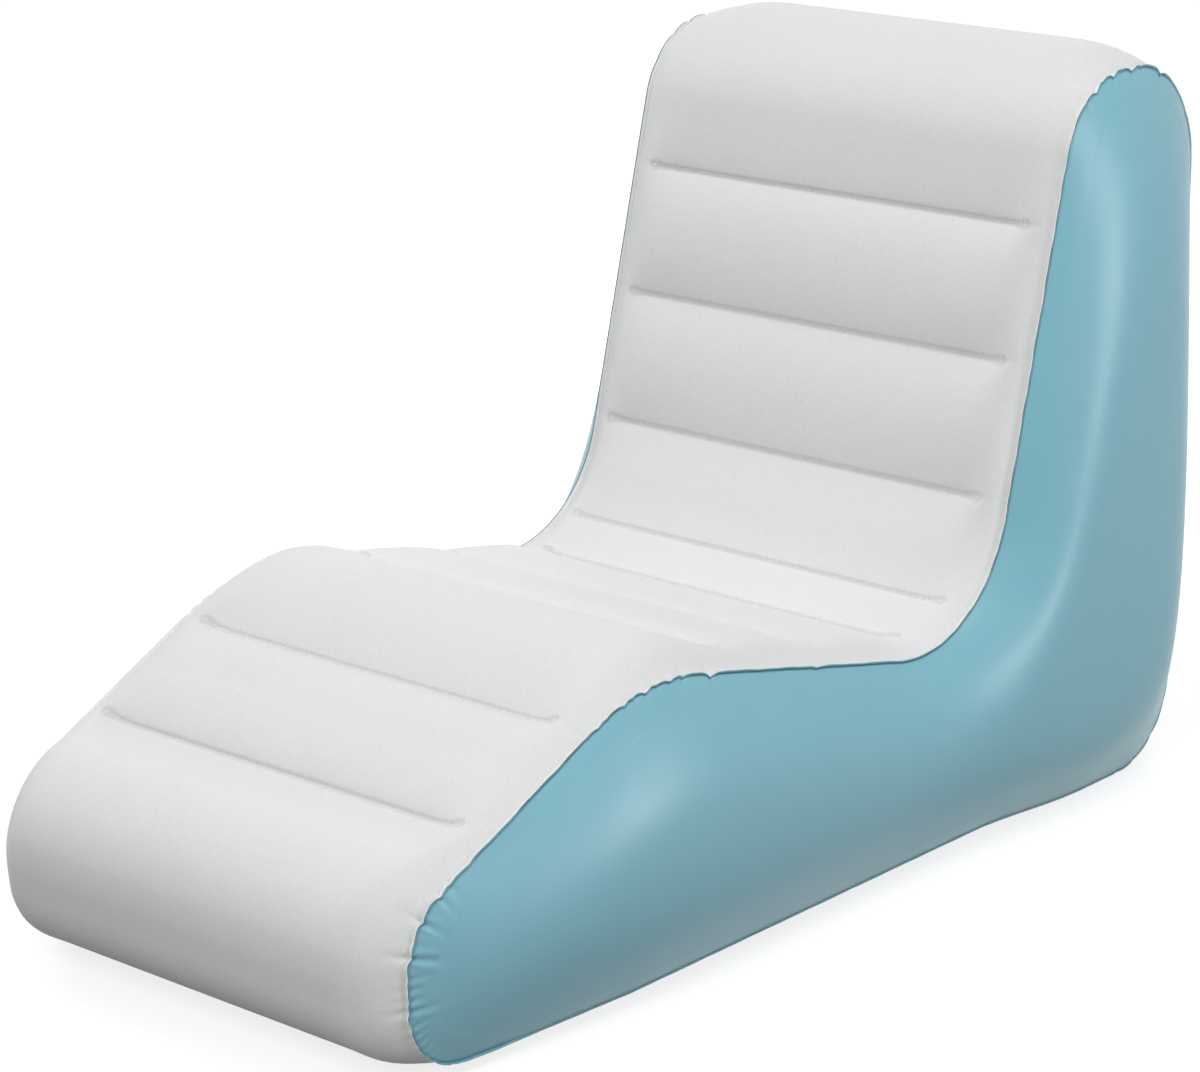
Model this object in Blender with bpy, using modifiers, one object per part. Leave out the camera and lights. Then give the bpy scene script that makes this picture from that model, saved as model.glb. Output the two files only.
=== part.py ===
"""Inflatable chaise lounge.

A raised leg ramp, a seat and a high backrest share one air body.  Four welded sheets make the body:
a flocked top sheet, a vinyl base sheet and two bulging side panels.  Nine webs inside tie the top
sheet to the base sheet, and each leaves a cross channel on both.  A screw valve sits low in the rear.

Metres, +Z up.  The toe end is at -Y, the backrest at +Y and the sitter's left at +X.
The origin is the middle of the footprint, on the floor.
"""
import math

import bmesh
import bpy
from mathutils import Matrix, Vector

# Side outline of the seam, measured along the floor from the toe seam and up from the floor
SEAM_LENGTH = 1.419
SEAM_TOP = 0.923
TOE_TOP = 0.193
KNEE_ALONG = 0.3694
KNEE_TOP = 0.3713
CREASE_ALONG = 0.993
CREASE_TOP = 0.240
HEAD_FRONT_ALONG = 1.163
TOE_BOTTOM_RADIUS = 0.085
TOE_TOP_RADIUS = 0.099
KNEE_RADIUS = 0.257
CREASE_RADIUS = 0.177
HEAD_FRONT_RADIUS = 0.118
HEAD_REAR_RADIUS = 0.140
REAR_BOTTOM_RADIUS = 0.110
REAR_FOOT_HEIGHT = 0.005
REAR_FOOT_LENGTH = 0.229
ARCH_RUN = 0.170
ARCH_RADIUS = 1.000

# Widths, from the middle plane
SEAM_HALF_WIDTH = 0.325
TOE_PULL_IN = 0.020
LEG_WELD_INSET = 0.040
BACK_WELD_INSET = 0.027
EDGE_ROUND = 0.075
TOE_EDGE_ROUND = 0.100
HEAD_EDGE_ROUND = 0.100

# How far the air pushes the sheets out
TOE_BULGE = 0.039
HEAD_CROWN = 0.024
BASE_LOBE = 0.018
LOBE_SHARE = 0.125
SIDE_EDGE_SLOPE = 1.15
SIDE_BULGE = 0.074
SIDE_FULL_RADIUS = 0.190

# Sheets and seams
TOP_THICKNESS = 0.0008
VINYL_THICKNESS = 0.0005
WEB_THICKNESS = 0.0004
FIN_WIDTH = 0.005
LAP_WIDTH = 0.012
LAP_STEP = 0.005
LAP_CLEARANCE = 0.0011
TAB_WIDTH = 0.012
GAP = 0.0003
SEAM_END_GAP = 0.0010

# Cross welds, as shares of the run that they lie on, in loop order
TOP_WELD_SHARES = (0.079, 0.182, 0.344, 0.444, 0.556, 0.608, 0.698, 0.799, 0.899)
TOP_PROUD_SHARES = (0.20, 0.16, 0.48, 0.41, 0.27, 0.46, 0.44, 0.21, 0.10)
REAR_WELD_SHARES = (0.266, 0.524, 0.777, 0.946)
BOTTOM_WELD_SHARES = (0.293, 0.481, 0.628, 0.796, 0.934)
TOP_PULL_SHARES = (0.80, 0.65, 0.40, 0.15, 0, 0, 0, 0, 0)
WELD_PULL_SHARES = (0.20, 0.40, 0.20, 0, 0, 0, 0, 0, 0)
TOE_ROLL_SHARES = (1.00, 0.55, 0.30)
TOE_LAP_SHARE = 0.15
TOE_POWER = 0.85
TUBE_POWER = 0.75
HEAD_POWER = 0.5

# Columns of the top and base sheets: the flat middle and the two steps of the rounded edge
MIDDLE_SHARE = 0.75
EDGE_STEP_SHARES = (0.45, 0.85)
ENVELOPE_SHARE = 0.85

# Rows of the side panels, from the lower rail to the upper one
SIDE_ROW_SHARES = (0.0, 0.05, 0.22, 0.50, 0.78, 0.95, 1.0)
END_FADE_POWER = 4

# Steps between the marks around the seam
TOE_STEPS = 6
TOP_STEPS = (5, 3, 5, 3, 3, 2, 5, 4, 4, 4)
HEAD_STEPS = 6
BASE_STEPS = (4, 3, 3, 3, 1, 1, 5, 3, 3, 3, 3, 3, 3)

# Valve, on the flat of the lowest rear lobe
VALVE_HEIGHT = 0.185
VALVE_FLAT_TOP = 0.240
TURN_STEPS = 48
SHEET_HOLE_RADIUS = 0.0250
BASE_FLANGE_RADIUS = 0.0380
BASE_FLANGE_THICKNESS = 0.0014
BASE_COLLAR_RADIUS = 0.0262
BASE_COLLAR_RISE = 0.0050
BASE_NECK_RADIUS = 0.0243
BASE_NECK_DEPTH = 0.0060
BASE_BORE_RADIUS = 0.0215
EDGE_CHAMFER = 0.0004

GASKET_THICKNESS = 0.0015
GASKET_INSET = 0.0007

RIM_RADIUS = 0.0295
RIM_THICKNESS = 0.0036
NOTCH_RADIUS = 0.0036
NOTCH_BITE = 0.0026
NOTCH_COUNT = 12
THREAD_GAP = 0.0005
SKIRT_WALL = 0.0022
SKIRT_DEPTH = 0.0110
PORT_RADIUS = 0.0095
PORT_WALL = 0.0025
PORT_RISE = 0.0050
PORT_LIP = 0.0007
PORT_LIP_HEIGHT = 0.0012

FLAP_THICKNESS = 0.0010
FLAP_OVERLAP = 0.0030
FLAP_HINGE_RISE = 0.0146
FLAP_NECK_HALF = 0.0040
FLAP_BEAD_RADIUS = 0.0008
FLAP_BEAD_HALF = 0.0068
RETAINER_HALF = 0.0080
RETAINER_DEPTH = 0.0026
RETAINER_HEIGHT = 0.0040
RETAINER_BRIDGE = 0.0014

CAP_RADIUS = 0.0150
CAP_THICKNESS = 0.0020
STOPPER_DEPTH = 0.0045
STOPPER_TAPER = 0.0008
STOPPER_WALL = 0.0016
HINGE_RISE = 0.0187
HINGE_BEAD_RADIUS = 0.0008
EYE_RADIUS = 0.0020
EYE_WIDTH = 0.0020
STRAP_THICKNESS = 0.0020
STRAP_RING_WIDTH = 0.0027
TONGUE_HALF = 0.0033
TONGUE_WIDTH = 0.0030
TAB_HALF = 0.0045
TAB_REACH = 0.0040

CUT_OVERRUN = 0.0020

# Working directions of the valve: its own x lies along -X, its y points up and its z out of the rear
VALVE_TURN = Matrix(((-1, 0, 0), (0, 0, 1), (0, 1, 0)))

PALE_GREY = (0.66, 0.67, 0.68, 1)
TEAL = (0.23, 0.42, 0.48, 1)
WEB_WHITE = (0.72, 0.73, 0.73, 1)
VALVE_WHITE = (0.80, 0.81, 0.80, 1)
CLEAR_RUBBER = (0.62, 0.66, 0.66, 1)
DARK_RUBBER = (0.10, 0.11, 0.12, 1)


def clear_scene():
    for item in list(bpy.data.objects):
        bpy.data.objects.remove(item, do_unlink=True)


def collection(name):
    group = bpy.data.collections.new(name)
    bpy.context.scene.collection.children.link(group)
    return group


def material(name, colour, roughness):
    made = bpy.data.materials.new(name)
    made.use_nodes = True
    shader = made.node_tree.nodes["Principled BSDF"]
    shader.inputs["Base Color"].default_value = colour
    shader.inputs["Roughness"].default_value = roughness
    shader.inputs["Metallic"].default_value = 0.0
    return made


def add_object(name, mesh, group, parent=None):
    made = bpy.data.objects.new(name, mesh)
    group.objects.link(made)
    made.parent = parent
    return made


def mesh_from(bm, name):
    mesh = bpy.data.meshes.new(name)
    bm.to_mesh(mesh)
    bm.free()
    return mesh


def bake(item, colour, roughness):
    """Keep the evaluated shape, shaded smooth up to its sharp edges, in its own material."""
    bpy.context.view_layer.update()
    graph = bpy.context.evaluated_depsgraph_get()
    mesh = bpy.data.meshes.new_from_object(item.evaluated_get(graph))
    item.modifiers.clear()
    item.data = mesh
    mesh.shade_smooth()
    mesh.set_sharp_from_angle(angle=math.radians(35))
    mesh.materials.clear()
    mesh.materials.append(material(item.name, colour, roughness))


# The seam's side outline

def seam_corners():
    foot = SEAM_LENGTH - REAR_FOOT_LENGTH
    return (
        (0, BASE_LOBE, TOE_BOTTOM_RADIUS),
        (0, TOE_TOP, TOE_TOP_RADIUS),
        (KNEE_ALONG, KNEE_TOP, KNEE_RADIUS),
        (CREASE_ALONG, CREASE_TOP, CREASE_RADIUS),
        (HEAD_FRONT_ALONG, SEAM_TOP, HEAD_FRONT_RADIUS),
        (SEAM_LENGTH, SEAM_TOP, HEAD_REAR_RADIUS),
        (SEAM_LENGTH, REAR_FOOT_HEIGHT, REAR_BOTTOM_RADIUS),
        (foot, REAR_FOOT_HEIGHT, ARCH_RADIUS),
        (foot - ARCH_RUN, BASE_LOBE, ARCH_RADIUS),
    )


def left_of(direction):
    return Vector((-direction.y, direction.x))


class SeamPath:
    """Lines and tangent arcs around the body, toe bottom first, with the outside on the left."""

    def __init__(self, corners):
        points = [Vector(corner[:2]) for corner in corners]
        count = len(points)
        arcs = []
        for index, corner in enumerate(corners):
            before = (points[index] - points[index - 1]).normalized()
            after = (points[(index + 1) % count] - points[index]).normalized()
            turn = before.x * after.y - before.y * after.x
            angle = math.atan2(turn, before.dot(after))
            reach = corner[2] * math.tan(abs(angle) / 2)
            start = points[index] - before * reach
            side = math.copysign(1, angle)
            centre = start + left_of(before) * corner[2] * side
            arcs.append((start, centre, corner[2], angle, points[index] + after * reach))
        self.pieces = []
        self.arc_spans = []
        self.length = 0
        for index, (start, centre, radius, angle, end) in enumerate(arcs):
            arc_length = radius * abs(angle)
            self.arc_spans.append((self.length, self.length + arc_length))
            self.pieces.append((self.length, arc_length, "arc", start, centre, angle))
            self.length += arc_length
            line = arcs[(index + 1) % count][0] - end
            self.pieces.append((self.length, line.length, "line", end, line.normalized(), 0))
            self.length += line.length

    def at(self, distance):
        """Point and outward direction at a distance along the loop."""
        distance %= self.length
        for begin, length, kind, start, other, angle in self.pieces:
            if distance <= begin + length:
                break
        if kind == "line":
            return start + other * (distance - begin), left_of(other)
        turned = Matrix.Rotation(angle * (distance - begin) / length, 2) @ (start - other)
        outward = turned.normalized() * -math.copysign(1, angle)
        return other + turned, outward

    def middle_of_arc(self, index):
        return sum(self.arc_spans[index]) / 2


def blend(first, second, share):
    return first + (second - first) * share


class Station:
    """One place on the seam with the heights of the sheet that crosses there."""

    def __init__(self, path, distance, values, is_weld):
        self.distance = distance
        self.point, self.outward = path.at(distance)
        self.proud, self.half_width, self.weld_half, self.edge = values
        self.is_weld = is_weld
        self.rise = 0
        self.envelope = 0

    def columns(self):
        """Distances from the middle plane with the sheet's height there, middle first."""
        edge_x = [blend(self.weld_half, self.half_width, share) for share in EDGE_STEP_SHARES]
        result = []
        for x in (self.half_width * MIDDLE_SHARE, self.weld_half):
            result.append((x, self.proud + self.rise * self.roundness(x)))
        for x in edge_x:
            result.append((x, (self.proud + self.envelope) * self.roundness(x)))
        result.append((self.half_width, 0))
        return result

    def roundness(self, x):
        share = min(1, (self.half_width - x) / self.edge)
        return 1 - (1 - share) ** 2

    def height_over_floor(self):
        """Distance from the seam to the floor, measured outwards."""
        return self.point.y / -self.outward.y if self.outward.y < 0 else math.inf

    def crest(self):
        """Side view place of the sheet's outer face over its flat middle."""
        x, height = self.columns()[0]
        return self.point + self.outward * height


class Seam:
    """All stations around the loop: toe side, top run, head side and base run."""

    def __init__(self):
        path = SeamPath(seam_corners())
        toe_low, toe_high = blend(*path.arc_spans[0], TOE_LAP_SHARE), path.middle_of_arc(1)
        head_front, head_rear = path.middle_of_arc(4), path.middle_of_arc(5)
        top_welds = [blend(toe_high, head_front, share) for share in TOP_WELD_SHARES]
        corner_start, corner_end = path.arc_spans[6]
        flat_top = corner_start - (VALVE_FLAT_TOP - path.at(corner_start)[0].y)
        rear_welds = [blend(head_rear, flat_top, share) for share in REAR_WELD_SHARES]
        bottom_end = path.length
        bottom_welds = [blend(corner_end, bottom_end, share) for share in BOTTOM_WELD_SHARES]

        leg_weld = SEAM_HALF_WIDTH - LEG_WELD_INSET
        back_weld = SEAM_HALF_WIDTH - BACK_WELD_INSET
        toe_width = SEAM_HALF_WIDTH - TOE_PULL_IN
        between = SEAM_HALF_WIDTH - TOE_PULL_IN / 2
        toe = (TOE_ROLL_SHARES[-1] * BASE_LOBE, toe_width, leg_weld - TOE_PULL_IN, TOE_EDGE_ROUND)
        head = (0, SEAM_HALF_WIDTH, back_weld, HEAD_EDGE_ROUND)
        rear = (0, SEAM_HALF_WIDTH, back_weld, EDGE_ROUND)
        plain = (0, SEAM_HALF_WIDTH, leg_weld, EDGE_ROUND)
        proud_unit = LOBE_SHARE * (top_welds[-1] - top_welds[-2])
        marks = [(toe_low, toe, False), (toe_high, toe, False)]
        for index, place in enumerate(top_welds):
            width = SEAM_HALF_WIDTH - TOP_PULL_SHARES[index] * TOE_PULL_IN
            weld_half = leg_weld if index < 5 else back_weld
            weld_half -= WELD_PULL_SHARES[index] * TOE_PULL_IN
            values = (TOP_PROUD_SHARES[index] * proud_unit, width, weld_half, EDGE_ROUND)
            marks.append((place, values, True))
        marks += [(head_front, head, False), (head_rear, head, False)]
        marks += [(place, rear, True) for place in rear_welds]
        marks += [(flat_top, rear, False), (corner_start, rear, False), (corner_end, plain, False)]
        marks += [(place, plain, True) for place in bottom_welds[:-1]]
        marks.append((bottom_welds[-1], (0, between, leg_weld, EDGE_ROUND), True))
        marks.append((path.length + toe_low, toe, False))

        steps = (TOE_STEPS,) + TOP_STEPS + (HEAD_STEPS,) + BASE_STEPS
        self.stations = []
        for index, count in enumerate(steps):
            start, values, weld = marks[index]
            end, next_values, unused = marks[index + 1]
            for step in range(count):
                share = step / count
                mixed = [blend(a, b, share) for a, b in zip(values, next_values)]
                place = blend(start, end, share)
                self.stations.append(Station(path, place, mixed, weld and step == 0))
        self.toe_end = TOE_STEPS
        self.head_start = self.toe_end + sum(TOP_STEPS)
        self.head_end = self.head_start + HEAD_STEPS
        self.count = len(self.stations)
        self.set_heights(toe_low, top_welds, rear_welds)

    def set_heights(self, toe_low, top_welds, rear_welds):
        lobes = [(toe_low, top_welds[0], TOE_BULGE, TOE_POWER)]
        for start, end in zip(top_welds, top_welds[1:]):
            lobes.append((start, end, LOBE_SHARE * (end - start), TUBE_POWER))
        lobes.append((top_welds[-1], rear_welds[0], HEAD_CROWN, HEAD_POWER))
        for station in self.stations:
            if station.is_weld:
                continue
            if station.distance > rear_welds[0]:
                station.rise = min(BASE_LOBE, station.height_over_floor())
                continue
            for start, end, rise, power in lobes:
                if start <= station.distance < end:
                    share = (station.distance - start) / (end - start)
                    station.rise = rise * (1 - (2 * share - 1) ** 2) ** power
        for back, share in enumerate(reversed(TOE_ROLL_SHARES[:-1])):
            station = self.stations[-1 - back]
            station.proud = 0
            station.rise = share * BASE_LOBE
        for index, station in enumerate(self.stations):
            beside = (self.stations[index - 1].rise + self.stations[(index + 1) % self.count].rise) / 2
            station.envelope = ENVELOPE_SHARE * beside if station.is_weld else station.rise

    def station(self, index):
        return self.stations[index % self.count]

    def weld_indices(self):
        welds = [index for index, station in enumerate(self.stations) if station.is_weld]
        return welds[:len(TOP_WELD_SHARES)], welds[len(TOP_WELD_SHARES):]


# Sheets

def row_points(station, thickness, middle):
    """One row across the body, from fin tip to fin tip, for a sheet of this thickness."""
    across = Vector((1, 0, 0))
    outward = Vector((0, station.outward.x, station.outward.y))
    base = Vector((0, station.point.x - middle, station.point.y))
    half = [base + across * x + outward * height for x, height in station.columns()]
    seam = base + across * station.half_width
    fold = seam + (outward - across).normalized() * (thickness + GAP / 2)
    half[-1] = fold
    half.append(fold + (outward + across).normalized() * FIN_WIDTH)
    mirrored = [Vector((-point.x, point.y, point.z)) for point in reversed(half)]
    return mirrored + half


def grid_surface(rows, skipped=()):
    """A grid whose vertices take the places in rows; skipped holds (row, column) faces to leave out."""
    row_count, column_count = len(rows) - 1, len(rows[0]) - 1
    bm = bmesh.new()
    bmesh.ops.create_grid(bm, x_segments=column_count, y_segments=row_count, size=1)
    unwanted = []
    for face in bm.faces:
        centre = face.calc_center_median()
        row = math.floor((centre.y + 1) / 2 * row_count)
        column = math.floor((centre.x + 1) / 2 * column_count)
        if (row, column) in skipped:
            unwanted.append(face)
    for vertex in bm.verts:
        row = round((vertex.co.y + 1) / 2 * row_count)
        column = round((vertex.co.x + 1) / 2 * column_count)
        vertex.co = rows[row][column]
    bmesh.ops.delete(bm, geom=unwanted, context="FACES")
    return bm


def thicken(item, thickness):
    shell = item.modifiers.new("Thickness", "SOLIDIFY")
    shell.thickness = thickness
    shell.offset = -1
    shell.use_even_offset = True
    shell.use_quality_normals = True
    shell.use_rim = True


def top_sheet(seam, middle, group):
    rows = [row_points(seam.station(index), TOP_THICKNESS, middle) for index in range(seam.head_end + 1)]
    mesh = mesh_from(grid_surface(rows), "flocked_top_sheet")
    item = add_object("flocked_top_sheet", mesh, group)
    thicken(item, TOP_THICKNESS)
    bake(item, PALE_GREY, 0.85)
    return item


def part_way(first, second, distance):
    """Row at a distance from the first row towards the second, both given as point lists."""
    whole = (second[len(second) // 2] - first[len(first) // 2]).length
    return [blend(a, b, distance / whole) for a, b in zip(first, second)]


def stepped_in(row, station, kept_columns):
    """The row with its middle columns moved under the top sheet's edge."""
    inward = Vector((0, -station.outward.x, -station.outward.y)) * (TOP_THICKNESS + LAP_CLEARANCE)
    return [point + inward if column in kept_columns else point for column, point in enumerate(row)]


def base_sheet(seam, middle, group, cutters, valve_axis):
    """The base sheet, whose two ends step in and lie under the top sheet's ends."""
    def row(index):
        return row_points(seam.station(index), VINYL_THICKNESS, middle)

    column_count = len(row(0))
    kept = range(3, column_count - 3)
    head, toe = seam.head_end, seam.count
    rows = [
        stepped_in(part_way(row(head), row(head - 1), LAP_WIDTH), seam.station(head), kept),
        stepped_in(part_way(row(head), row(head + 1), SEAM_END_GAP), seam.station(head), kept),
        part_way(row(head), row(head + 1), SEAM_END_GAP + LAP_STEP),
    ]
    rows += [row(index) for index in range(head + 1, toe)]
    rows += [
        part_way(row(toe), row(toe - 1), SEAM_END_GAP + LAP_STEP),
        stepped_in(part_way(row(toe), row(toe - 1), SEAM_END_GAP), seam.station(toe), kept),
        stepped_in(part_way(row(toe), row(toe + 1), LAP_WIDTH), seam.station(toe), kept),
    ]
    outside = [column for column in range(column_count - 1) if column not in kept or column + 1 not in kept]
    skipped = {(end, column) for end in (0, len(rows) - 2) for column in outside}
    mesh = mesh_from(grid_surface(rows, skipped), "base_sheet")
    item = add_object("base_sheet", mesh, group)
    thicken(item, VINYL_THICKNESS)
    reach = 2 * (VINYL_THICKNESS + CUT_OVERRUN)
    hole = cylinder("sheet_hole_cutter", SHEET_HOLE_RADIUS, reach, cutters, valve_axis)
    cut(item, hole)
    bake(item, TEAL, 0.35)
    return item


def distance_to_loop(point, loop):
    nearest = math.inf
    for start, end in zip(loop, loop[1:] + loop[:1]):
        along = end - start
        share = max(0, min(1, (point - start).dot(along) / along.length_squared))
        nearest = min(nearest, (point - start - along * share).length)
    return nearest


def limited(value, limit):
    """The value, levelling off smoothly below the limit."""
    return value * limit / (value ** 4 + limit ** 4) ** 0.25


def side_surface(seam, middle, thickness):
    """Grid between the lower and the upper rail, bulging to +X, with the fin around it."""
    shift = Vector((middle, 0))
    columns = seam.head_start - seam.toe_end
    upper = [seam.station(seam.toe_end + index) for index in range(columns + 1)]
    lower = [seam.station(seam.count - index) for index in range(columns + 1)]
    toe = [seam.station(index) for index in range(TOE_STEPS + 1)]
    head = [seam.station(seam.head_end - index) for index in range(HEAD_STEPS + 1)]
    last = len(SIDE_ROW_SHARES) - 1
    loop = [station.point for station in seam.stations]

    def rim_station(row, column):
        if column == 0:
            return toe[row]
        if column == columns:
            return head[row]
        return lower[column] if row == 0 else upper[column]

    def place(row, column):
        if row in (0, last) or column in (0, columns):
            return fold_and_tip(rim_station(row, column), thickness, shift)[0]
        share = SIDE_ROW_SHARES[row]
        flat = blend(lower[column].point, upper[column].point, share)
        along = column / columns
        toe_pull = toe[row].point - blend(toe[0].point, toe[-1].point, share)
        head_pull = head[row].point - blend(head[0].point, head[-1].point, share)
        flat = flat + toe_pull * (1 - along) ** END_FADE_POWER + head_pull * along ** END_FADE_POWER
        radius = limited((upper[column].point - lower[column].point).length / 2, SIDE_FULL_RADIUS)
        depth = min(1, distance_to_loop(flat, loop) / radius)
        bulge = limited(SIDE_EDGE_SLOPE * radius * (1 - (1 - depth) ** 2) / 2, SIDE_BULGE)
        width = blend(lower[column].half_width, upper[column].half_width, share)
        return Vector((width + bulge, flat.x - middle, flat.y))

    rows = []
    for row in range(-1, last + 2):
        line = []
        for column in range(-1, columns + 2):
            inner_row = min(max(row, 0), last)
            inner_column = min(max(column, 0), columns)
            if (row, column) == (inner_row, inner_column):
                line.append(place(row, column))
            else:
                station = rim_station(inner_row, inner_column)
                line.append(fold_and_tip(station, thickness, shift)[1])
        rows.append(line)
    bm = grid_surface(rows)
    bmesh.ops.remove_doubles(bm, verts=bm.verts, dist=GAP / 10)
    return bm


def fold_and_tip(station, thickness, shift):
    """The side panel's fold line and fin tip at one station."""
    across = Vector((1, 0, 0))
    outward = Vector((0, station.outward.x, station.outward.y))
    flat = station.point - shift
    seam = Vector((station.half_width, flat.x, flat.y))
    fold = seam + (across - outward).normalized() * (thickness + GAP / 2)
    return fold, fold + (across + outward).normalized() * FIN_WIDTH


def side_panel(name, seam, middle, side, group):
    bm = side_surface(seam, middle, VINYL_THICKNESS)
    if side < 0:
        bmesh.ops.scale(bm, vec=Vector((-1, 1, 1)), verts=bm.verts)
        bmesh.ops.reverse_faces(bm, faces=bm.faces)
    item = add_object(name, mesh_from(bm, name), group)
    thicken(item, VINYL_THICKNESS)
    bake(item, TEAL, 0.35)
    return item


# Webs

def inner_corner(before, corner, after, depth):
    """Side view point where both facets beside a corner, moved in by a depth, meet."""
    first = (corner - before).normalized()
    second = (after - corner).normalized()
    bisector = (left_of(first) + left_of(second)).normalized()
    return corner - bisector * depth / bisector.dot(left_of(first))


def baffle(name, seam, middle, top_index, base_index, group):
    """A web with a tab at each end; the tabs lie along the inside of the two sheets."""
    top = [seam.station(top_index + step).crest() for step in (-1, 0, 1)]
    base = [seam.station(base_index + step).crest() for step in (-1, 0, 1)]
    top_corner = inner_corner(*top, TOP_THICKNESS + GAP)
    base_corner = inner_corner(*base, VINYL_THICKNESS + GAP)
    section = [
        base_corner + (base[0] - base[1]).normalized() * TAB_WIDTH,
        base_corner,
        top_corner,
        top_corner + (top[2] - top[1]).normalized() * TAB_WIDTH,
    ]
    station = seam.station(top_index)
    tab_half = min(station.half_width, seam.station(base_index).half_width) * MIDDLE_SHARE
    web_half = min(station.weld_half, seam.station(base_index).weld_half)
    across = (-web_half, -tab_half, tab_half, web_half)
    rows = [[Vector((x, point.x - middle, point.y)) for x in across] for point in section]
    skipped = {(row, column) for row in (0, 2) for column in (0, 2)}
    mesh = mesh_from(grid_surface(rows, skipped), name)
    item = add_object(name, mesh, group)
    thicken(item, WEB_THICKNESS)
    bake(item, WEB_WHITE, 0.6)
    return item


# Valve

def turned(name, profile, group, parent, steps=TURN_STEPS):
    """A profile of (radius, height) points, down its outer side first, turned about the local z axis."""
    mesh = bpy.data.meshes.new(name)
    points = [(radius, 0, height) for radius, height in profile]
    closed = profile[0][0] > 0 or profile[-1][0] > 0
    edges = [(index, index + 1) for index in range(len(points) - 1)]
    if closed:
        edges.append((len(points) - 1, 0))
    mesh.from_pydata(points, edges, [])
    item = add_object(name, mesh, group, parent)
    screw = item.modifiers.new("Turn", "SCREW")
    screw.steps = steps
    screw.render_steps = steps
    screw.use_merge_vertices = True
    screw.merge_threshold = GAP / 100
    screw.use_smooth_shade = True
    return item


def cylinder(name, radius, length, group, parent, centre=(0, 0, 0), turn=None, segments=TURN_STEPS):
    bm = bmesh.new()
    bmesh.ops.create_cone(bm, cap_ends=True, segments=segments, radius1=radius, radius2=radius, depth=length)
    if turn is not None:
        bmesh.ops.rotate(bm, matrix=turn, verts=bm.verts)
    bmesh.ops.translate(bm, vec=Vector(centre), verts=bm.verts)
    item = add_object(name, mesh_from(bm, name), group, parent)
    return item


def box(name, low, high, group, parent):
    bm = bmesh.new()
    bmesh.ops.create_cube(bm, size=1)
    low, high = Vector(low), Vector(high)
    bmesh.ops.scale(bm, vec=high - low, verts=bm.verts)
    bmesh.ops.translate(bm, vec=(low + high) / 2, verts=bm.verts)
    return add_object(name, mesh_from(bm, name), group, parent)


def cut(item, cutter, operation="DIFFERENCE"):
    cutter.hide_render = True
    cutter.display_type = "WIRE"
    change = item.modifiers.new(cutter.name, "BOOLEAN")
    change.operation = operation
    change.object = cutter
    return change


def join(item, cutter):
    return cut(item, cutter, "UNION")


def axis_empty(name, group, parent, location):
    item = add_object(name, None, group, parent)
    item.location = location
    item.empty_display_size = RIM_RADIUS
    return item


class ValveStack:
    """Heights of the valve's pieces above the outer face of the base sheet."""

    def __init__(self):
        self.flange_low = GAP
        self.flange_top = self.flange_low + BASE_FLANGE_THICKNESS
        self.collar_top = self.flange_top + BASE_COLLAR_RISE
        self.neck_low = -BASE_NECK_DEPTH
        self.gasket_low = self.collar_top + GAP
        self.gasket_top = self.gasket_low + GASKET_THICKNESS
        self.rim_low = self.gasket_top + GAP
        self.rim_top = self.rim_low + RIM_THICKNESS
        self.port_top = self.rim_top + PORT_RISE
        self.skirt_low = -SKIRT_DEPTH
        self.flap_top = self.rim_low - GAP
        self.flap_low = self.flap_top - FLAP_THICKNESS
        self.flap_axis = self.flap_top - FLAP_BEAD_RADIUS
        self.strap_low = self.rim_top + GAP
        self.strap_top = self.strap_low + STRAP_THICKNESS
        self.cap_low = self.port_top + GAP
        self.cap_top = self.cap_low + CAP_THICKNESS
        self.hinge = (self.cap_low + self.cap_top) / 2
        self.outermost = self.hinge + EYE_RADIUS


def valve_base(stack, group, axis):
    profile = (
        (BASE_COLLAR_RADIUS - EDGE_CHAMFER, stack.collar_top),
        (BASE_COLLAR_RADIUS, stack.collar_top - EDGE_CHAMFER),
        (BASE_COLLAR_RADIUS, stack.flange_top),
        (BASE_FLANGE_RADIUS - EDGE_CHAMFER, stack.flange_top),
        (BASE_FLANGE_RADIUS, stack.flange_top - EDGE_CHAMFER),
        (BASE_FLANGE_RADIUS, stack.flange_low),
        (BASE_NECK_RADIUS, stack.flange_low),
        (BASE_NECK_RADIUS, stack.neck_low),
        (BASE_BORE_RADIUS, stack.neck_low),
        (BASE_BORE_RADIUS, stack.collar_top),
    )
    item = turned("valve_base", profile, group, axis)
    bake(item, VALVE_WHITE, 0.4)


def valve_gasket(stack, group, axis):
    inner = BASE_BORE_RADIUS + GASKET_INSET
    outer = BASE_COLLAR_RADIUS - GASKET_INSET
    profile = ((outer, stack.gasket_top), (outer, stack.gasket_low), (inner, stack.gasket_low), (inner, stack.gasket_top))
    item = turned("valve_gasket", profile, group, axis)
    bake(item, DARK_RUBBER, 0.7)


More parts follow.
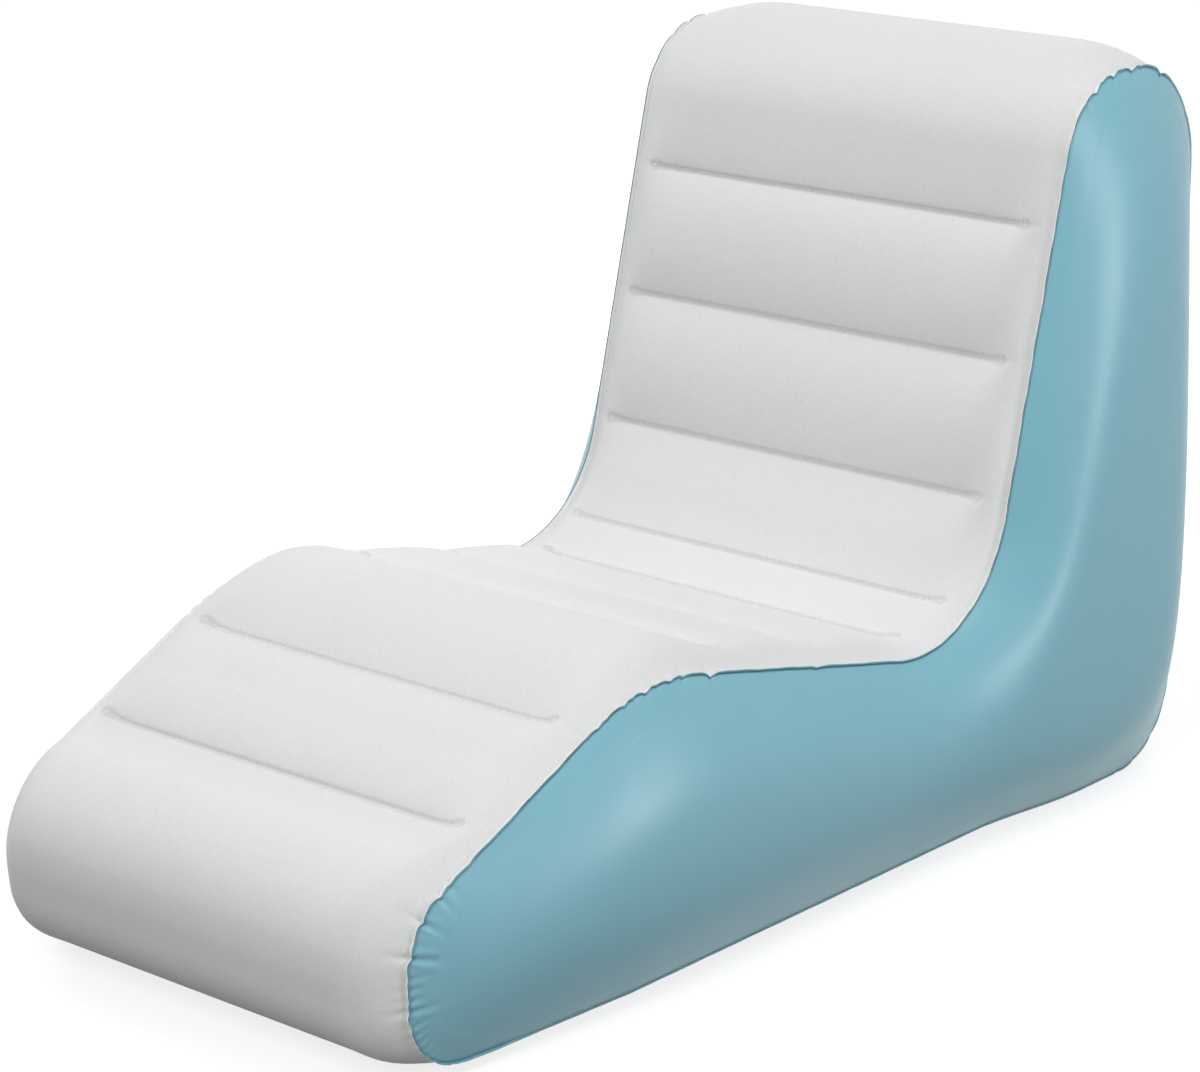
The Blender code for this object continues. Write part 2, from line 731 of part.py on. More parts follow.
def valve_plug(stack, group, cutters, axis):
    skirt = BASE_BORE_RADIUS - THREAD_GAP
    collar = PORT_RADIUS + PORT_WALL
    lip = collar + PORT_LIP
    profile = (
        (lip, stack.port_top),
        (lip, stack.port_top - PORT_LIP_HEIGHT),
        (collar, stack.port_top - PORT_LIP_HEIGHT),
        (collar, stack.rim_top),
        (RIM_RADIUS - EDGE_CHAMFER, stack.rim_top),
        (RIM_RADIUS, stack.rim_top - EDGE_CHAMFER),
        (RIM_RADIUS, stack.rim_low),
        (skirt, stack.rim_low),
        (skirt, stack.skirt_low),
        (skirt - SKIRT_WALL, stack.skirt_low),
        (skirt - SKIRT_WALL, stack.rim_low),
        (PORT_RADIUS, stack.rim_low),
        (PORT_RADIUS, stack.port_top),
    )
    item = turned("valve_plug", profile, group, axis)
    bm = bmesh.new()
    reach = RIM_THICKNESS + 2 * CUT_OVERRUN
    out = RIM_RADIUS + NOTCH_RADIUS - NOTCH_BITE
    height = stack.rim_low + RIM_THICKNESS / 2
    for index in range(NOTCH_COUNT):
        turn = Matrix.Rotation(2 * math.pi * (index + 0.5) / NOTCH_COUNT, 4, "Z")
        place = turn @ Matrix.Translation((out, 0, height))
        bmesh.ops.create_cone(bm, cap_ends=True, segments=16, radius1=NOTCH_RADIUS, radius2=NOTCH_RADIUS,
                              depth=reach, matrix=place)
    notches = add_object("grip_notch_cutter", mesh_from(bm, "grip_notch_cutter"), cutters, axis)
    cut(item, notches)
    bake(item, VALVE_WHITE, 0.4)


def flap_and_retainer(stack, group, cutters, axis):
    """A one-way flap that hangs by a bead, and the bar whose two ears hold the bead."""
    along_x = Matrix.Rotation(math.pi / 2, 3, "Y")
    hinge = (0, FLAP_HINGE_RISE, stack.flap_axis)
    flap_axis = axis_empty("flap_axis", group, axis, hinge)
    back = -Vector(hinge)
    radius = PORT_RADIUS + FLAP_OVERLAP
    middle = (stack.flap_low + stack.flap_top) / 2
    flap = cylinder("valve_flap", radius, FLAP_THICKNESS, group, flap_axis, (0, 0, middle))
    flap.location = back
    neck = box("flap_neck_cutter", (-FLAP_NECK_HALF, radius - FLAP_OVERLAP, stack.flap_low),
               (FLAP_NECK_HALF, FLAP_HINGE_RISE, stack.flap_top), cutters, axis)
    bead = cylinder("flap_bead_cutter", FLAP_BEAD_RADIUS, 2 * FLAP_BEAD_HALF, cutters, axis, hinge, along_x, 16)
    join(flap, neck)
    join(flap, bead)
    bake(flap, CLEAR_RUBBER, 0.5)

    low = (-RETAINER_HALF, FLAP_HINGE_RISE - RETAINER_HEIGHT / 2, stack.flap_top - RETAINER_DEPTH)
    high = (RETAINER_HALF, FLAP_HINGE_RISE + RETAINER_HEIGHT / 2, stack.flap_top)
    item = box("flap_retainer", low, high, group, axis)
    slot_half = FLAP_NECK_HALF + THREAD_GAP
    slot = box("retainer_slot_cutter", (-slot_half, low[1] - CUT_OVERRUN, low[2] - CUT_OVERRUN),
               (slot_half, high[1] - RETAINER_BRIDGE, high[2] + CUT_OVERRUN), cutters, axis)
    groove = cylinder("retainer_groove_cutter", FLAP_BEAD_RADIUS + GAP, 2 * (FLAP_BEAD_HALF + GAP), cutters, axis,
                      hinge, along_x, 16)
    cut(item, slot)
    cut(item, groove)
    bake(item, VALVE_WHITE, 0.4)


def valve_cap(stack, group, cutters, axis):
    along_x = Matrix.Rotation(math.pi / 2, 3, "Y")
    hinge = (0, HINGE_RISE, stack.hinge)
    cap_axis = axis_empty("cap_axis", group, axis, hinge)
    stopper = PORT_RADIUS - THREAD_GAP
    stopper_low = stack.cap_low - STOPPER_DEPTH
    recess = stopper - STOPPER_TAPER - STOPPER_WALL
    profile = (
        (recess, stack.cap_top),
        (CAP_RADIUS - EDGE_CHAMFER, stack.cap_top),
        (CAP_RADIUS, stack.cap_top - EDGE_CHAMFER),
        (CAP_RADIUS, stack.cap_low),
        (stopper, stack.cap_low),
        (stopper - STOPPER_TAPER, stopper_low),
        (0, stopper_low),
        (0, stopper_low + STOPPER_WALL),
        (recess, stopper_low + STOPPER_WALL),
    )
    mesh = bpy.data.meshes.new("valve_cap")
    order = profile[7:] + profile[:7]
    points = [(radius, 0, height) for radius, height in order]
    mesh.from_pydata(points, [(index, index + 1) for index in range(len(points) - 1)], [])
    cap = add_object("valve_cap", mesh, group, cap_axis)
    cap.location = -Vector(hinge)
    screw = cap.modifiers.new("Turn", "SCREW")
    screw.steps = TURN_STEPS
    screw.render_steps = TURN_STEPS
    screw.use_merge_vertices = True
    screw.merge_threshold = GAP / 100

    ear_low = TONGUE_HALF + GAP
    for side in (-1, 1):
        centre = (side * (ear_low + EYE_WIDTH / 2), HINGE_RISE, stack.hinge)
        arm = box(f"cap_arm_cutter_{side + 1}", (centre[0] - EYE_WIDTH / 2, CAP_RADIUS - EYE_WIDTH, stack.cap_low),
                  (centre[0] + EYE_WIDTH / 2, HINGE_RISE, stack.cap_top), cutters, axis)
        eye = cylinder(f"cap_eye_cutter_{side + 1}", EYE_RADIUS, EYE_WIDTH, cutters, axis, centre, along_x, 24)
        join(cap, arm)
        join(cap, eye)
    pull_low = stack.cap_low
    pull_high = stack.cap_top - EDGE_CHAMFER
    pull_end = -(CAP_RADIUS + TAB_REACH - TAB_HALF)
    pull = box("cap_pull_cutter", (-TAB_HALF, pull_end, pull_low), (TAB_HALF, -(CAP_RADIUS - EYE_WIDTH), pull_high),
               cutters, axis)
    tip = cylinder("cap_pull_tip_cutter", TAB_HALF, pull_high - pull_low, cutters, axis,
                   (0, pull_end, (pull_low + pull_high) / 2), None, 24)
    join(cap, pull)
    join(cap, tip)
    reach = 2 * (ear_low + EYE_WIDTH + CUT_OVERRUN)
    bore = cylinder("cap_bore_cutter", HINGE_BEAD_RADIUS + GAP, reach, cutters, axis, hinge, along_x, 16)
    cut(cap, bore)
    bake(cap, VALVE_WHITE, 0.4)


def cap_strap(stack, group, cutters, axis):
    along_x = Matrix.Rotation(math.pi / 2, 3, "Y")
    inner = PORT_RADIUS + PORT_WALL + GAP
    outer = inner + STRAP_RING_WIDTH
    profile = ((outer, stack.strap_top), (outer, stack.strap_low), (inner, stack.strap_low), (inner, stack.strap_top))
    item = turned("cap_strap", profile, group, axis)
    half = TONGUE_WIDTH / 2
    foot = box("strap_foot_cutter", (-TONGUE_HALF, (inner + outer) / 2, stack.strap_low),
               (TONGUE_HALF, HINGE_RISE + half, stack.strap_top), cutters, axis)
    post = box("strap_post_cutter", (-TONGUE_HALF, HINGE_RISE - half, stack.strap_low),
               (TONGUE_HALF, HINGE_RISE + half, stack.hinge), cutters, axis)
    hinge = (0, HINGE_RISE, stack.hinge)
    head = cylinder("strap_head_cutter", half, 2 * TONGUE_HALF, cutters, axis, hinge, along_x, 24)
    bead_length = 2 * (TONGUE_HALF + GAP + EYE_WIDTH)
    bead = cylinder("strap_bead_cutter", HINGE_BEAD_RADIUS, bead_length, cutters, axis, hinge, along_x, 16)
    for piece in (foot, post, head, bead):
        join(item, piece)
    bake(item, VALVE_WHITE, 0.45)


def main():
    clear_scene()
    group = collection("inflatable_chaise_lounge")
    cutters = collection("cutters")
    seam = Seam()
    stack = ValveStack()
    front = min(station.crest().x for station in seam.stations)
    rear_face = SEAM_LENGTH + BASE_LOBE
    middle = (front + rear_face + stack.outermost) / 2

    valve_axis = axis_empty("valve_axis", group, None, (0, rear_face - middle, VALVE_HEIGHT))
    valve_axis.rotation_euler = VALVE_TURN.to_euler()

    top_sheet(seam, middle, group)
    base_sheet(seam, middle, group, cutters, valve_axis)
    side_panel("side_panel_left", seam, middle, 1, group)
    side_panel("side_panel_right", seam, middle, -1, group)

    top_welds, base_welds = seam.weld_indices()
    names = ["leg_baffle_1", "leg_baffle_2", "seat_baffle_1", "seat_baffle_2", "seat_baffle_3",
             "back_baffle_4", "back_baffle_3", "back_baffle_2", "back_baffle_1"]
    for name, top_index, base_index in zip(names, top_welds, reversed(base_welds)):
        baffle(name, seam, middle, top_index, base_index, group)

    valve_base(stack, group, valve_axis)
    valve_gasket(stack, group, valve_axis)
    valve_plug(stack, group, cutters, valve_axis)
    flap_and_retainer(stack, group, cutters, valve_axis)
    valve_cap(stack, group, cutters, valve_axis)
    cap_strap(stack, group, cutters, valve_axis)


main()
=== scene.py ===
import math

import bmesh
import bpy
import numpy as np
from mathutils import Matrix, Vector, geometry


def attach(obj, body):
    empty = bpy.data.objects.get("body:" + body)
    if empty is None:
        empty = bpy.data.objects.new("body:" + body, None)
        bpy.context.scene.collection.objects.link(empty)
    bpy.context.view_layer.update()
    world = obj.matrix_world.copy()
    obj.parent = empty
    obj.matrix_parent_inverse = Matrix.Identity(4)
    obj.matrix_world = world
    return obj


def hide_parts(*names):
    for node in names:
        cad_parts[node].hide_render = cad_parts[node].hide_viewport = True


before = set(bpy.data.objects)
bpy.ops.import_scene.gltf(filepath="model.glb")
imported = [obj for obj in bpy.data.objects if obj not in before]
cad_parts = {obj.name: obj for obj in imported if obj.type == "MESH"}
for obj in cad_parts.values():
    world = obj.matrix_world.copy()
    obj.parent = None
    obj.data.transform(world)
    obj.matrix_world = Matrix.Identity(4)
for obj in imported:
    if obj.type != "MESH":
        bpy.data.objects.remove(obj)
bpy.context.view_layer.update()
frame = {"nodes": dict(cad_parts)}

# Inflatable chaise lounge. Metres and radians, +Z up, toe end at -Y, backrest at +Y, the sitter's left at +X.

# Side outline of the seam: along the floor from the toe seam, up from the floor, bend radius
SEAM_CORNERS = (
    (0.0, 0.018, 0.085),
    (0.0, 0.193, 0.099),
    (0.3694, 0.3713, 0.257),
    (0.993, 0.240, 0.177),
    (1.163, 0.923, 0.118),
    (1.419, 0.923, 0.140),
    (1.419, 0.005, 0.110),
    (1.190, 0.005, 1.000),
    (1.020, 0.018, 1.000),
)
MIDDLE_ALONG = 0.70837

# Corners of the outline by number
TOE_FLOOR, TOE_TOP, HEAD_FRONT, HEAD_REAR, REAR_FLOOR = 0, 1, 4, 5, 6

# Half widths of the seam and of the welds, and how far in from the seam a sheet rounds off
SEAM_HALF = 0.325
TOE_PULL_IN = 0.020
LEG_WELD_HALF = 0.285
BACK_WELD_HALF = 0.298
LEG_WELDS = 5
EDGE_ROUND = 0.075
TOE_EDGE_ROUND = 0.065
HEAD_EDGE_ROUND = 0.100

# Lobes of the top sheet: rise, rise as a share of the span, and how full they are
TOE_BULGE = 0.047
TOE_LEAN = 1.18
TOE_FULLNESS = 1.0
LOBE_SHARE = 0.125
LOBE_FULLNESS = 0.75
HEAD_CROWN = 0.024
HEAD_FULLNESS = 0.5
FLAT_HALF = 0.0022

# Lobes of the base sheet: rise, the width of their round shoulders, and the drop of the last one to the toe
BASE_LOBE = 0.018
REAR_SHOULDER = 0.070
CORNER_SHOULDER = 0.040
BOTTOM_SHOULDER = 0.048
TOE_SHOULDER = 0.045
REAR_LOBES = 3
TOE_DROP = 0.70
TOE_DROP_START = 0.30

# Share of a channel that carries on past the ends of its weld, and where the rest fades beside the end
CARRY = 0.12
CHANNEL_FADE_INSIDE = 0.036
CHANNEL_FADE_OUTSIDE = 0.020

# Side panels: slope at the seam, limit of the bulge, how sharply it is reached, and the film's radius
SIDE_EDGE_SLOPE = 1.10
SIDE_BULGE = 0.072
RIDGE_POWER = 6
SIDE_RADIUS = 0.190

TOP_THICKNESS = 0.0008
VINYL_THICKNESS = 0.0005
WEB_THICKNESS = 0.0004
WELD_GAP = 0.0003
SMOOTH_ANGLE = math.radians(60)

# Places of the welds along the top, the rear and the underside, and how far each top weld stands proud of
# the seam and is drawn in towards the toe
TOP_WELD_SHARES = (0.079, 0.182, 0.344, 0.444, 0.556, 0.608, 0.698, 0.799, 0.899)
TOP_PROUD_SHARES = (0.20, 0.16, 0.48, 0.41, 0.27, 0.46, 0.44, 0.21, 0.10)
TOP_PULL_SHARES = (0.80, 0.65, 0.40, 0.15, 0, 0, 0, 0, 0)
WELD_PULL_SHARES = (0.20, 0.40, 0.20, 0, 0, 0, 0, 0, 0)
REAR_WELD_SHARES = (0.266, 0.524, 0.777, 0.946)
BOTTOM_WELD_SHARES = (0.293, 0.481, 0.628, 0.796, 0.934)

# Lap welds of the flocked sheet over the base sheet
TOE_LAP_PROUD = 0.0054
TOE_LAP_SHARE = 0.15
LAP_WIDTH = 0.012
LAP_STEP = 0.005
LAP_SINK = 0.0016
LAP_ROWS = (0.0010, 0.0035, 0.0060)
LAP_CLEAR = 0.008
LAP_CUT_COLUMNS = 10

VALVE_HEIGHT = 0.185
VALVE_FLAT_TOP = 0.240
VALVE_HOLE_RADIUS = 0.025
VALVE_HOLE_MARGIN = 0.004

# Pressed weld line: half width, depth, and the round pad with its dot at each end
LINE_HALF = 0.0040
LINE_DEPTH = 0.0004
LINE_SOFT = (-0.0010, 0.0012)
PAD_RADIUS = 0.0070
PAD_NECK = 0.020
DOT_RADIUS = 0.0018
DOT_SOFT = 0.0006
DOT_SHARE = 0.9

# Puckers of the seam: place along it, depth of the pinch, length of the crease on the teal and on the flock
LEFT_PUCKERS = (
    (0.0460, 0.0010, 0.012, 0.004),
    (0.0590, 0.0015, 0.014, 0.004),
    (0.0730, 0.0012, 0.014, 0.004),
    (0.0850, 0.0016, 0.015, 0.004),
    (0.0960, 0.0022, 0.016, 0.006),
    (0.1090, 0.0018, 0.016, 0.005),
    (0.1285, 0.0046, 0.018, 0.016),
    (0.1415, 0.0024, 0.016, 0.004),
    (0.1530, 0.0020, 0.016, 0.004),
    (0.1660, 0.0016, 0.016, 0.004),
    (0.1885, 0.0054, 0.022, 0.016),
    (0.2050, 0.0014, 0.010, 0.004),
    (0.2294, 0.0050, 0.012, 0.008),
    (0.2634, 0.0034, 0.009, 0.005),
    (0.2815, 0.0022, 0.007, 0.004),
    (0.3080, 0.0014, 0.005, 0.004),
    (0.5160, 0.0014, 0.004, 0.004),
    (0.5350, 0.0018, 0.004, 0.004),
    (0.5510, 0.0020, 0.004, 0.004),
    (0.5799, 0.0028, 0.005, 0.005),
    (0.5950, 0.0022, 0.004, 0.004),
    (0.6149, 0.0038, 0.006, 0.006),
    (0.6349, 0.0024, 0.005, 0.005),
    (0.6560, 0.0026, 0.004, 0.004),
    (0.6799, 0.0034, 0.005, 0.005),
    (0.7253, 0.0040, 0.006, 0.006),
    (0.9180, 0.0018, 0.004, 0.004),
    (1.7434, 0.0012, 0.004, 0.003),
    (1.7824, 0.0016, 0.004, 0.003),
    (1.8220, 0.0014, 0.004, 0.003),
    (1.8600, 0.0018, 0.005, 0.005),
    (1.8850, 0.0040, 0.006, 0.010),
    (1.9040, 0.0022, 0.005, 0.008),
    (1.9252, 0.0040, 0.006, 0.010),
    (1.9452, 0.0020, 0.005, 0.008),
    (1.9650, 0.0040, 0.007, 0.008),
    (1.9870, 0.0022, 0.006, 0.006),
    (2.0330, 0.0040, 0.006, 0.006),
    (2.1240, 0.0010, 0.006, 0.006),
    (2.9040, 0.0012, 0.006, 0.006),
    (2.9510, 0.0018, 0.006, 0.006),
    (2.9990, 0.0016, 0.006, 0.006),
    (3.0360, 0.0012, 0.006, 0.006),
)
RIGHT_PUCKERS = (
    (0.0520, 0.0018, 0.012, 0.004),
    (0.0680, 0.0022, 0.014, 0.004),
    (0.0850, 0.0030, 0.015, 0.008),
    (0.1080, 0.0020, 0.014, 0.005),
    (0.1360, 0.0046, 0.018, 0.014),
    (0.1600, 0.0018, 0.014, 0.004),
    (0.1800, 0.0044, 0.018, 0.012),
    (0.2150, 0.0038, 0.012, 0.008),
    (0.2480, 0.0030, 0.010, 0.006),
    (0.2860, 0.0016, 0.007, 0.004),
    (0.5300, 0.0016, 0.004, 0.004),
    (0.5510, 0.0022, 0.004, 0.004),
    (0.5700, 0.0028, 0.005, 0.005),
    (0.6010, 0.0026, 0.005, 0.005),
    (0.6400, 0.0034, 0.005, 0.005),
    (0.6820, 0.0028, 0.005, 0.005),
    (0.7120, 0.0022, 0.004, 0.004),
    (1.8397, 0.0018, 0.005, 0.005),
    (1.8857, 0.0026, 0.006, 0.006),
    (1.9197, 0.0030, 0.006, 0.007),
    (1.9537, 0.0038, 0.006, 0.009),
    (1.9890, 0.0030, 0.006, 0.008),
    (2.0260, 0.0034, 0.006, 0.008),
    (2.1100, 0.0012, 0.006, 0.006),
    (2.9220, 0.0016, 0.006, 0.006),
    (2.9760, 0.0018, 0.006, 0.006),
    (3.0180, 0.0012, 0.006, 0.006),
)
PUCKERED_SPANS = ((0.035, 0.300), (0.500, 0.745), (1.840, 2.060), (2.890, 3.045))
PINCH_REACH = 0.0050
PINCH_STRENGTH = 1.30
SHEET_PINCH_FADE = 0.010
SIDE_PINCH_FADE = 0.006
SIDE_PUCKER_END = (0.050, 0.075)

# Creases that run from the pinches: strength, width at the seam and how it opens, and the ridges beside them
TEAL_CREASE = 0.80
FLOCK_CREASE = 0.20
CREASE_START = 0.003
CREASE_WIDTH = 0.0020
CREASE_SPREAD = 0.14
CREASE_RIDGE = 0.45
CREASE_RIDGE_PLACE = 1.9

# Fin of the seam: width, tilt from outward to the side, how the tilt waves and swings at the puckers, and
# how much wider the right panel's fin is beside the backrest, where its tip is also darkened with painted
# shade
FIN_WIDTH = 0.0038
HIDDEN_FIN_WIDTH = 0.0024
HIDDEN_FIN = (2.030, 4.220)
FIN_TURN = 0.050
TOE_FIN_END = (0.34, 0.50)
TOE_FIN_TILT = 1.10
SEEN_FIN_TILT = 0.80
HIDDEN_FIN_TILT = 0.05
FIN_WAVES = ((0.10, 71.0, 0.0), (0.07, 163.0, 1.3))
FIN_SWING = 90
FIN_SWING_PLACE = 0.004
FIN_SWING_REACH = 0.008
RIGHT_FIN_SPARE = 0.0012
RIGHT_SPARE_RISE = (0.80, 1.00)
RIGHT_SPARE_FALL = (2.05, 2.20)

# Mesh: steps along the seam, rows beside a weld, columns across a half sheet, rings and lattice of the sides
FINE_STEP = 0.0027
PLAIN_STEP = 0.0090
WELD_ROWS = (0.0010, 0.0020, 0.0030, 0.0040, 0.0050, 0.0064, 0.0086, 0.0120)
MIDDLE_COLUMNS = 14
END_COLUMNS = 19
OUTER_COLUMNS = 9
OUTER_CROWDING = 1.8
BEFORE_WELD_END = 0.024
AFTER_WELD_END = 0.004
SIDE_RINGS = (0.0, 0.0003, 0.0010, 0.0020, 0.0034, 0.0052, 0.0074, 0.0102, 0.0138, 0.0184, 0.0245, 0.0325)
LATTICE = 0.0095
LATTICE_CLEAR = 0.55
FILM_START = 0.01
FILM_STEPS = 1500
FILM_LEFT = 1e-22

# Painted shade on the teal: where it fades out beside the seam's fold, and how strong it is on the fin's
# middle
FOLD_PAINTED_SHADE_SPAN = (0.0003, 0.0024)
FIN_PAINTED_SHADE = 0.35

# Webs: inset from the weld's end, tongue at both ends, waist, mesh
WEB_INSET = 0.004
WEB_TONGUE = 0.012
WEB_WAIST = 0.06
WEB_ROWS = 19
WEB_COLUMNS = 41

ACROSS = np.array([1.0, 0.0, 0.0])


def smooth_step(low, high, value):
    share = np.clip((value - low) / (high - low), 0, 1)
    return share * share * (3 - 2 * share)


def dome(share):
    return 1 - (1 - share) ** 2


def spatial(pairs):
    """Pairs of the side plane as triples at X = 0."""
    return np.concatenate([np.zeros((len(pairs), 1)), pairs], 1)


def unit(vectors):
    return vectors / (np.linalg.norm(vectors, axis=-1, keepdims=True) + 1e-12)


# The seam and the relief of the sheets that cross it

class SeamPath:
    """Lines and tangent arcs around the body, toe bottom first; the outside is on the left."""

    def __init__(self, corners):
        points = [np.array(corner[:2]) for corner in corners]
        count = len(points)
        arcs = []
        for index, corner in enumerate(corners):
            before = points[index] - points[index - 1]
            before = before / np.linalg.norm(before)
            after = points[(index + 1) % count] - points[index]
            after = after / np.linalg.norm(after)
            angle = math.atan2(before[0] * after[1] - before[1] * after[0], before @ after)
            reach = corner[2] * math.tan(abs(angle) / 2)
            start = points[index] - before * reach
            centre = start + np.array([-before[1], before[0]]) * math.copysign(corner[2], angle)
            arcs.append((start, centre, angle, corner[2], points[index] + after * reach))
        self.pieces = []
        self.arc_spans = []
        self.length = 0.0
        for index, (start, centre, angle, radius, end) in enumerate(arcs):
            size = radius * abs(angle)
            self.arc_spans.append((self.length, self.length + size))
            self.pieces.append((self.length, size, start - centre, centre, angle))
            self.length += size
            line = arcs[(index + 1) % count][0] - end
            size = np.linalg.norm(line)
            self.pieces.append((self.length, size, line / size, end, 0.0))
            self.length += size

    def at(self, distance):
        distance = np.asarray(distance, float) % self.length
        point = np.zeros((len(distance), 2))
        outward = np.zeros((len(distance), 2))
        for begin, size, direction, origin, angle in self.pieces:
            here = (distance >= begin) & (distance < begin + size)
            along = distance[here] - begin
            if angle == 0.0:
                point[here] = origin + direction * along[:, None]
                outward[here] = (-direction[1], direction[0])
                continue
            turn = angle * along / size
            cos, sin = np.cos(turn), np.sin(turn)
            x, y = direction
            arm = np.stack([cos * x - sin * y, sin * x + cos * y], 1)
            point[here] = origin + arm
            outward[here] = arm / np.linalg.norm(direction) * -math.copysign(1, angle)
        return point, outward

    def middle_of_arc(self, index):
        return sum(self.arc_spans[index]) / 2


class Seam:
    """Widths, welds and lobes along the seam; distances run from the toe lap once around."""

    def __init__(self):
        path = self.path = SeamPath(SEAM_CORNERS)
        self.toe_low, toe_high = TOE_LAP_SHARE * path.arc_spans[TOE_FLOOR][1], path.middle_of_arc(TOE_TOP)
        head_front, self.head_rear = path.middle_of_arc(HEAD_FRONT), path.middle_of_arc(HEAD_REAR)
        self.end = path.length + self.toe_low
        corner_start, corner_end = path.arc_spans[REAR_FLOOR]
        corner_height = path.at([corner_start])[0][0, 1]
        flat_top = corner_start - (VALVE_FLAT_TOP - corner_height)
        self.top_welds = [toe_high + (head_front - toe_high) * share for share in TOP_WELD_SHARES]
        self.rear_welds = [self.head_rear + (flat_top - self.head_rear) * share for share in REAR_WELD_SHARES]
        self.bottom_welds = [corner_end + (path.length - corner_end) * share for share in BOTTOM_WELD_SHARES]
        self.welds = np.array(self.top_welds + self.rear_welds + self.bottom_welds)
        self.marks = self.width_marks(toe_high, head_front, corner_start, corner_end)
        self.lobes = self.all_lobes()

    def width_marks(self, toe_high, head_front, corner_start, corner_end):
        """Rows of place, rise of the weld over the seam, half width, the weld's half width, edge round."""
        unit_rise = LOBE_SHARE * (self.top_welds[-1] - self.top_welds[-2])
        toe_half, between = SEAM_HALF - TOE_PULL_IN, SEAM_HALF - TOE_PULL_IN / 2
        toe = (toe_half, LEG_WELD_HALF - TOE_PULL_IN, TOE_EDGE_ROUND)
        marks = [(self.toe_low, TOE_LAP_PROUD, *toe), (toe_high, TOE_LAP_PROUD, *toe)]
        for index, place in enumerate(self.top_welds):
            half = SEAM_HALF - TOP_PULL_SHARES[index] * TOE_PULL_IN
            weld_half = LEG_WELD_HALF if index < LEG_WELDS else BACK_WELD_HALF
            weld_half -= WELD_PULL_SHARES[index] * TOE_PULL_IN
            marks.append((place, TOP_PROUD_SHARES[index] * unit_rise, half, weld_half, EDGE_ROUND))
        marks.extend([
            (head_front, 0.0, SEAM_HALF, BACK_WELD_HALF, HEAD_EDGE_ROUND),
            (self.head_rear, 0.0, SEAM_HALF, BACK_WELD_HALF, HEAD_EDGE_ROUND),
            (self.rear_welds[0], 0.0, SEAM_HALF, BACK_WELD_HALF, EDGE_ROUND),
            (corner_start, 0.0, SEAM_HALF, BACK_WELD_HALF, EDGE_ROUND),
            (corner_end, 0.0, SEAM_HALF, LEG_WELD_HALF, EDGE_ROUND),
            (self.bottom_welds[-2], 0.0, SEAM_HALF, LEG_WELD_HALF, EDGE_ROUND),
            (self.bottom_welds[-1], 0.0, between, LEG_WELD_HALF, EDGE_ROUND),
            (self.end, 0.0, *toe),
        ])
        return np.array(marks)

    def all_lobes(self):
        """Rows of start, end, rise, kind, and the fullness of a tube or the shoulder of a flat lobe."""
        top, base = self.top_welds, self.rear_welds + self.bottom_welds
        lobes = [(self.toe_low, top[0], TOE_BULGE, "tube", TOE_FULLNESS)]
        for start, end in zip(top, top[1:]):
            lobes.append((start, end, LOBE_SHARE * (end - start), "tube", LOBE_FULLNESS))
        lobes.append((top[-1], base[0], HEAD_CROWN, "tube", HEAD_FULLNESS))
        shoulders = [REAR_SHOULDER] * REAR_LOBES + [CORNER_SHOULDER]
        shoulders += [BOTTOM_SHOULDER] * (len(base) - 1 - len(shoulders))
        for start, end, shoulder in zip(base, base[1:], shoulders):
            lobes.append((start, end, BASE_LOBE, "flat", shoulder))
        lobes.append((base[-1], self.end, BASE_LOBE, "toe", TOE_SHOULDER))
        return lobes

    def sections(self, distance):
        """Everything that the cross sections at these distances need, as arrays."""
        distance = np.asarray(distance, float)
        point, outward = self.path.at(distance)
        point = point - np.array([MIDDLE_ALONG, 0.0])
        proud, half, weld_half, edge = (np.interp(distance, self.marks[:, 0], column)
                                        for column in self.marks.T[1:])
        middles = [(start + end) / 2 for start, end, *unused in self.lobes]
        rise = np.interp(distance, middles, [lobe[2] for lobe in self.lobes])
        to_floor = point[:, 1] / np.maximum(1e-6, -outward[:, 1])
        rise = np.where(distance > self.rear_welds[-1], np.minimum(rise, to_floor), rise)
        swell = np.ones(len(distance))
        carry = np.full(len(distance), CARRY)
        for start, end, unused, kind, value in self.lobes:
            here = (distance >= start) & (distance <= end)
            span = end - start
            share = (distance[here] - start) / span
            if start == self.toe_low:
                share = share ** TOE_LEAN
                carry[here] = 1 - (1 - CARRY) * smooth_step(0.0, 0.5, share)
            near = np.minimum(share, 1 - share) * span
            if kind == "tube":
                swell[here] = dome(np.clip((near - FLAT_HALF) / (span / 2 - FLAT_HALF), 0, 1)) ** value
            elif kind == "flat":
                swell[here] = np.sqrt(dome(np.minimum(1, near / value)))
            else:
                carry[here] = CARRY + (1 - CARRY) * smooth_step(0.5, 1.0, share)
                down = 1 - TOE_DROP * smooth_step(TOE_DROP_START, 1.0, share)
                swell[here] = np.sqrt(dome(np.minimum(1, share * span / value))) * down
        to_weld = distance[:, None] - self.welds[None, :]
        nearest = np.take_along_axis(to_weld, np.abs(to_weld).argmin(1)[:, None], 1)[:, 0]
        return {"s": distance, "point": point, "outward": outward, "proud": proud, "half": half,
                "weld_half": weld_half, "edge": edge, "rise": rise, "swell": swell, "carry": carry,
                "from_weld": nearest}

    def lap(self, distance):
        """Distances of the second lap as those of the first."""
        return np.where(distance > self.path.length, distance - self.path.length, distance)


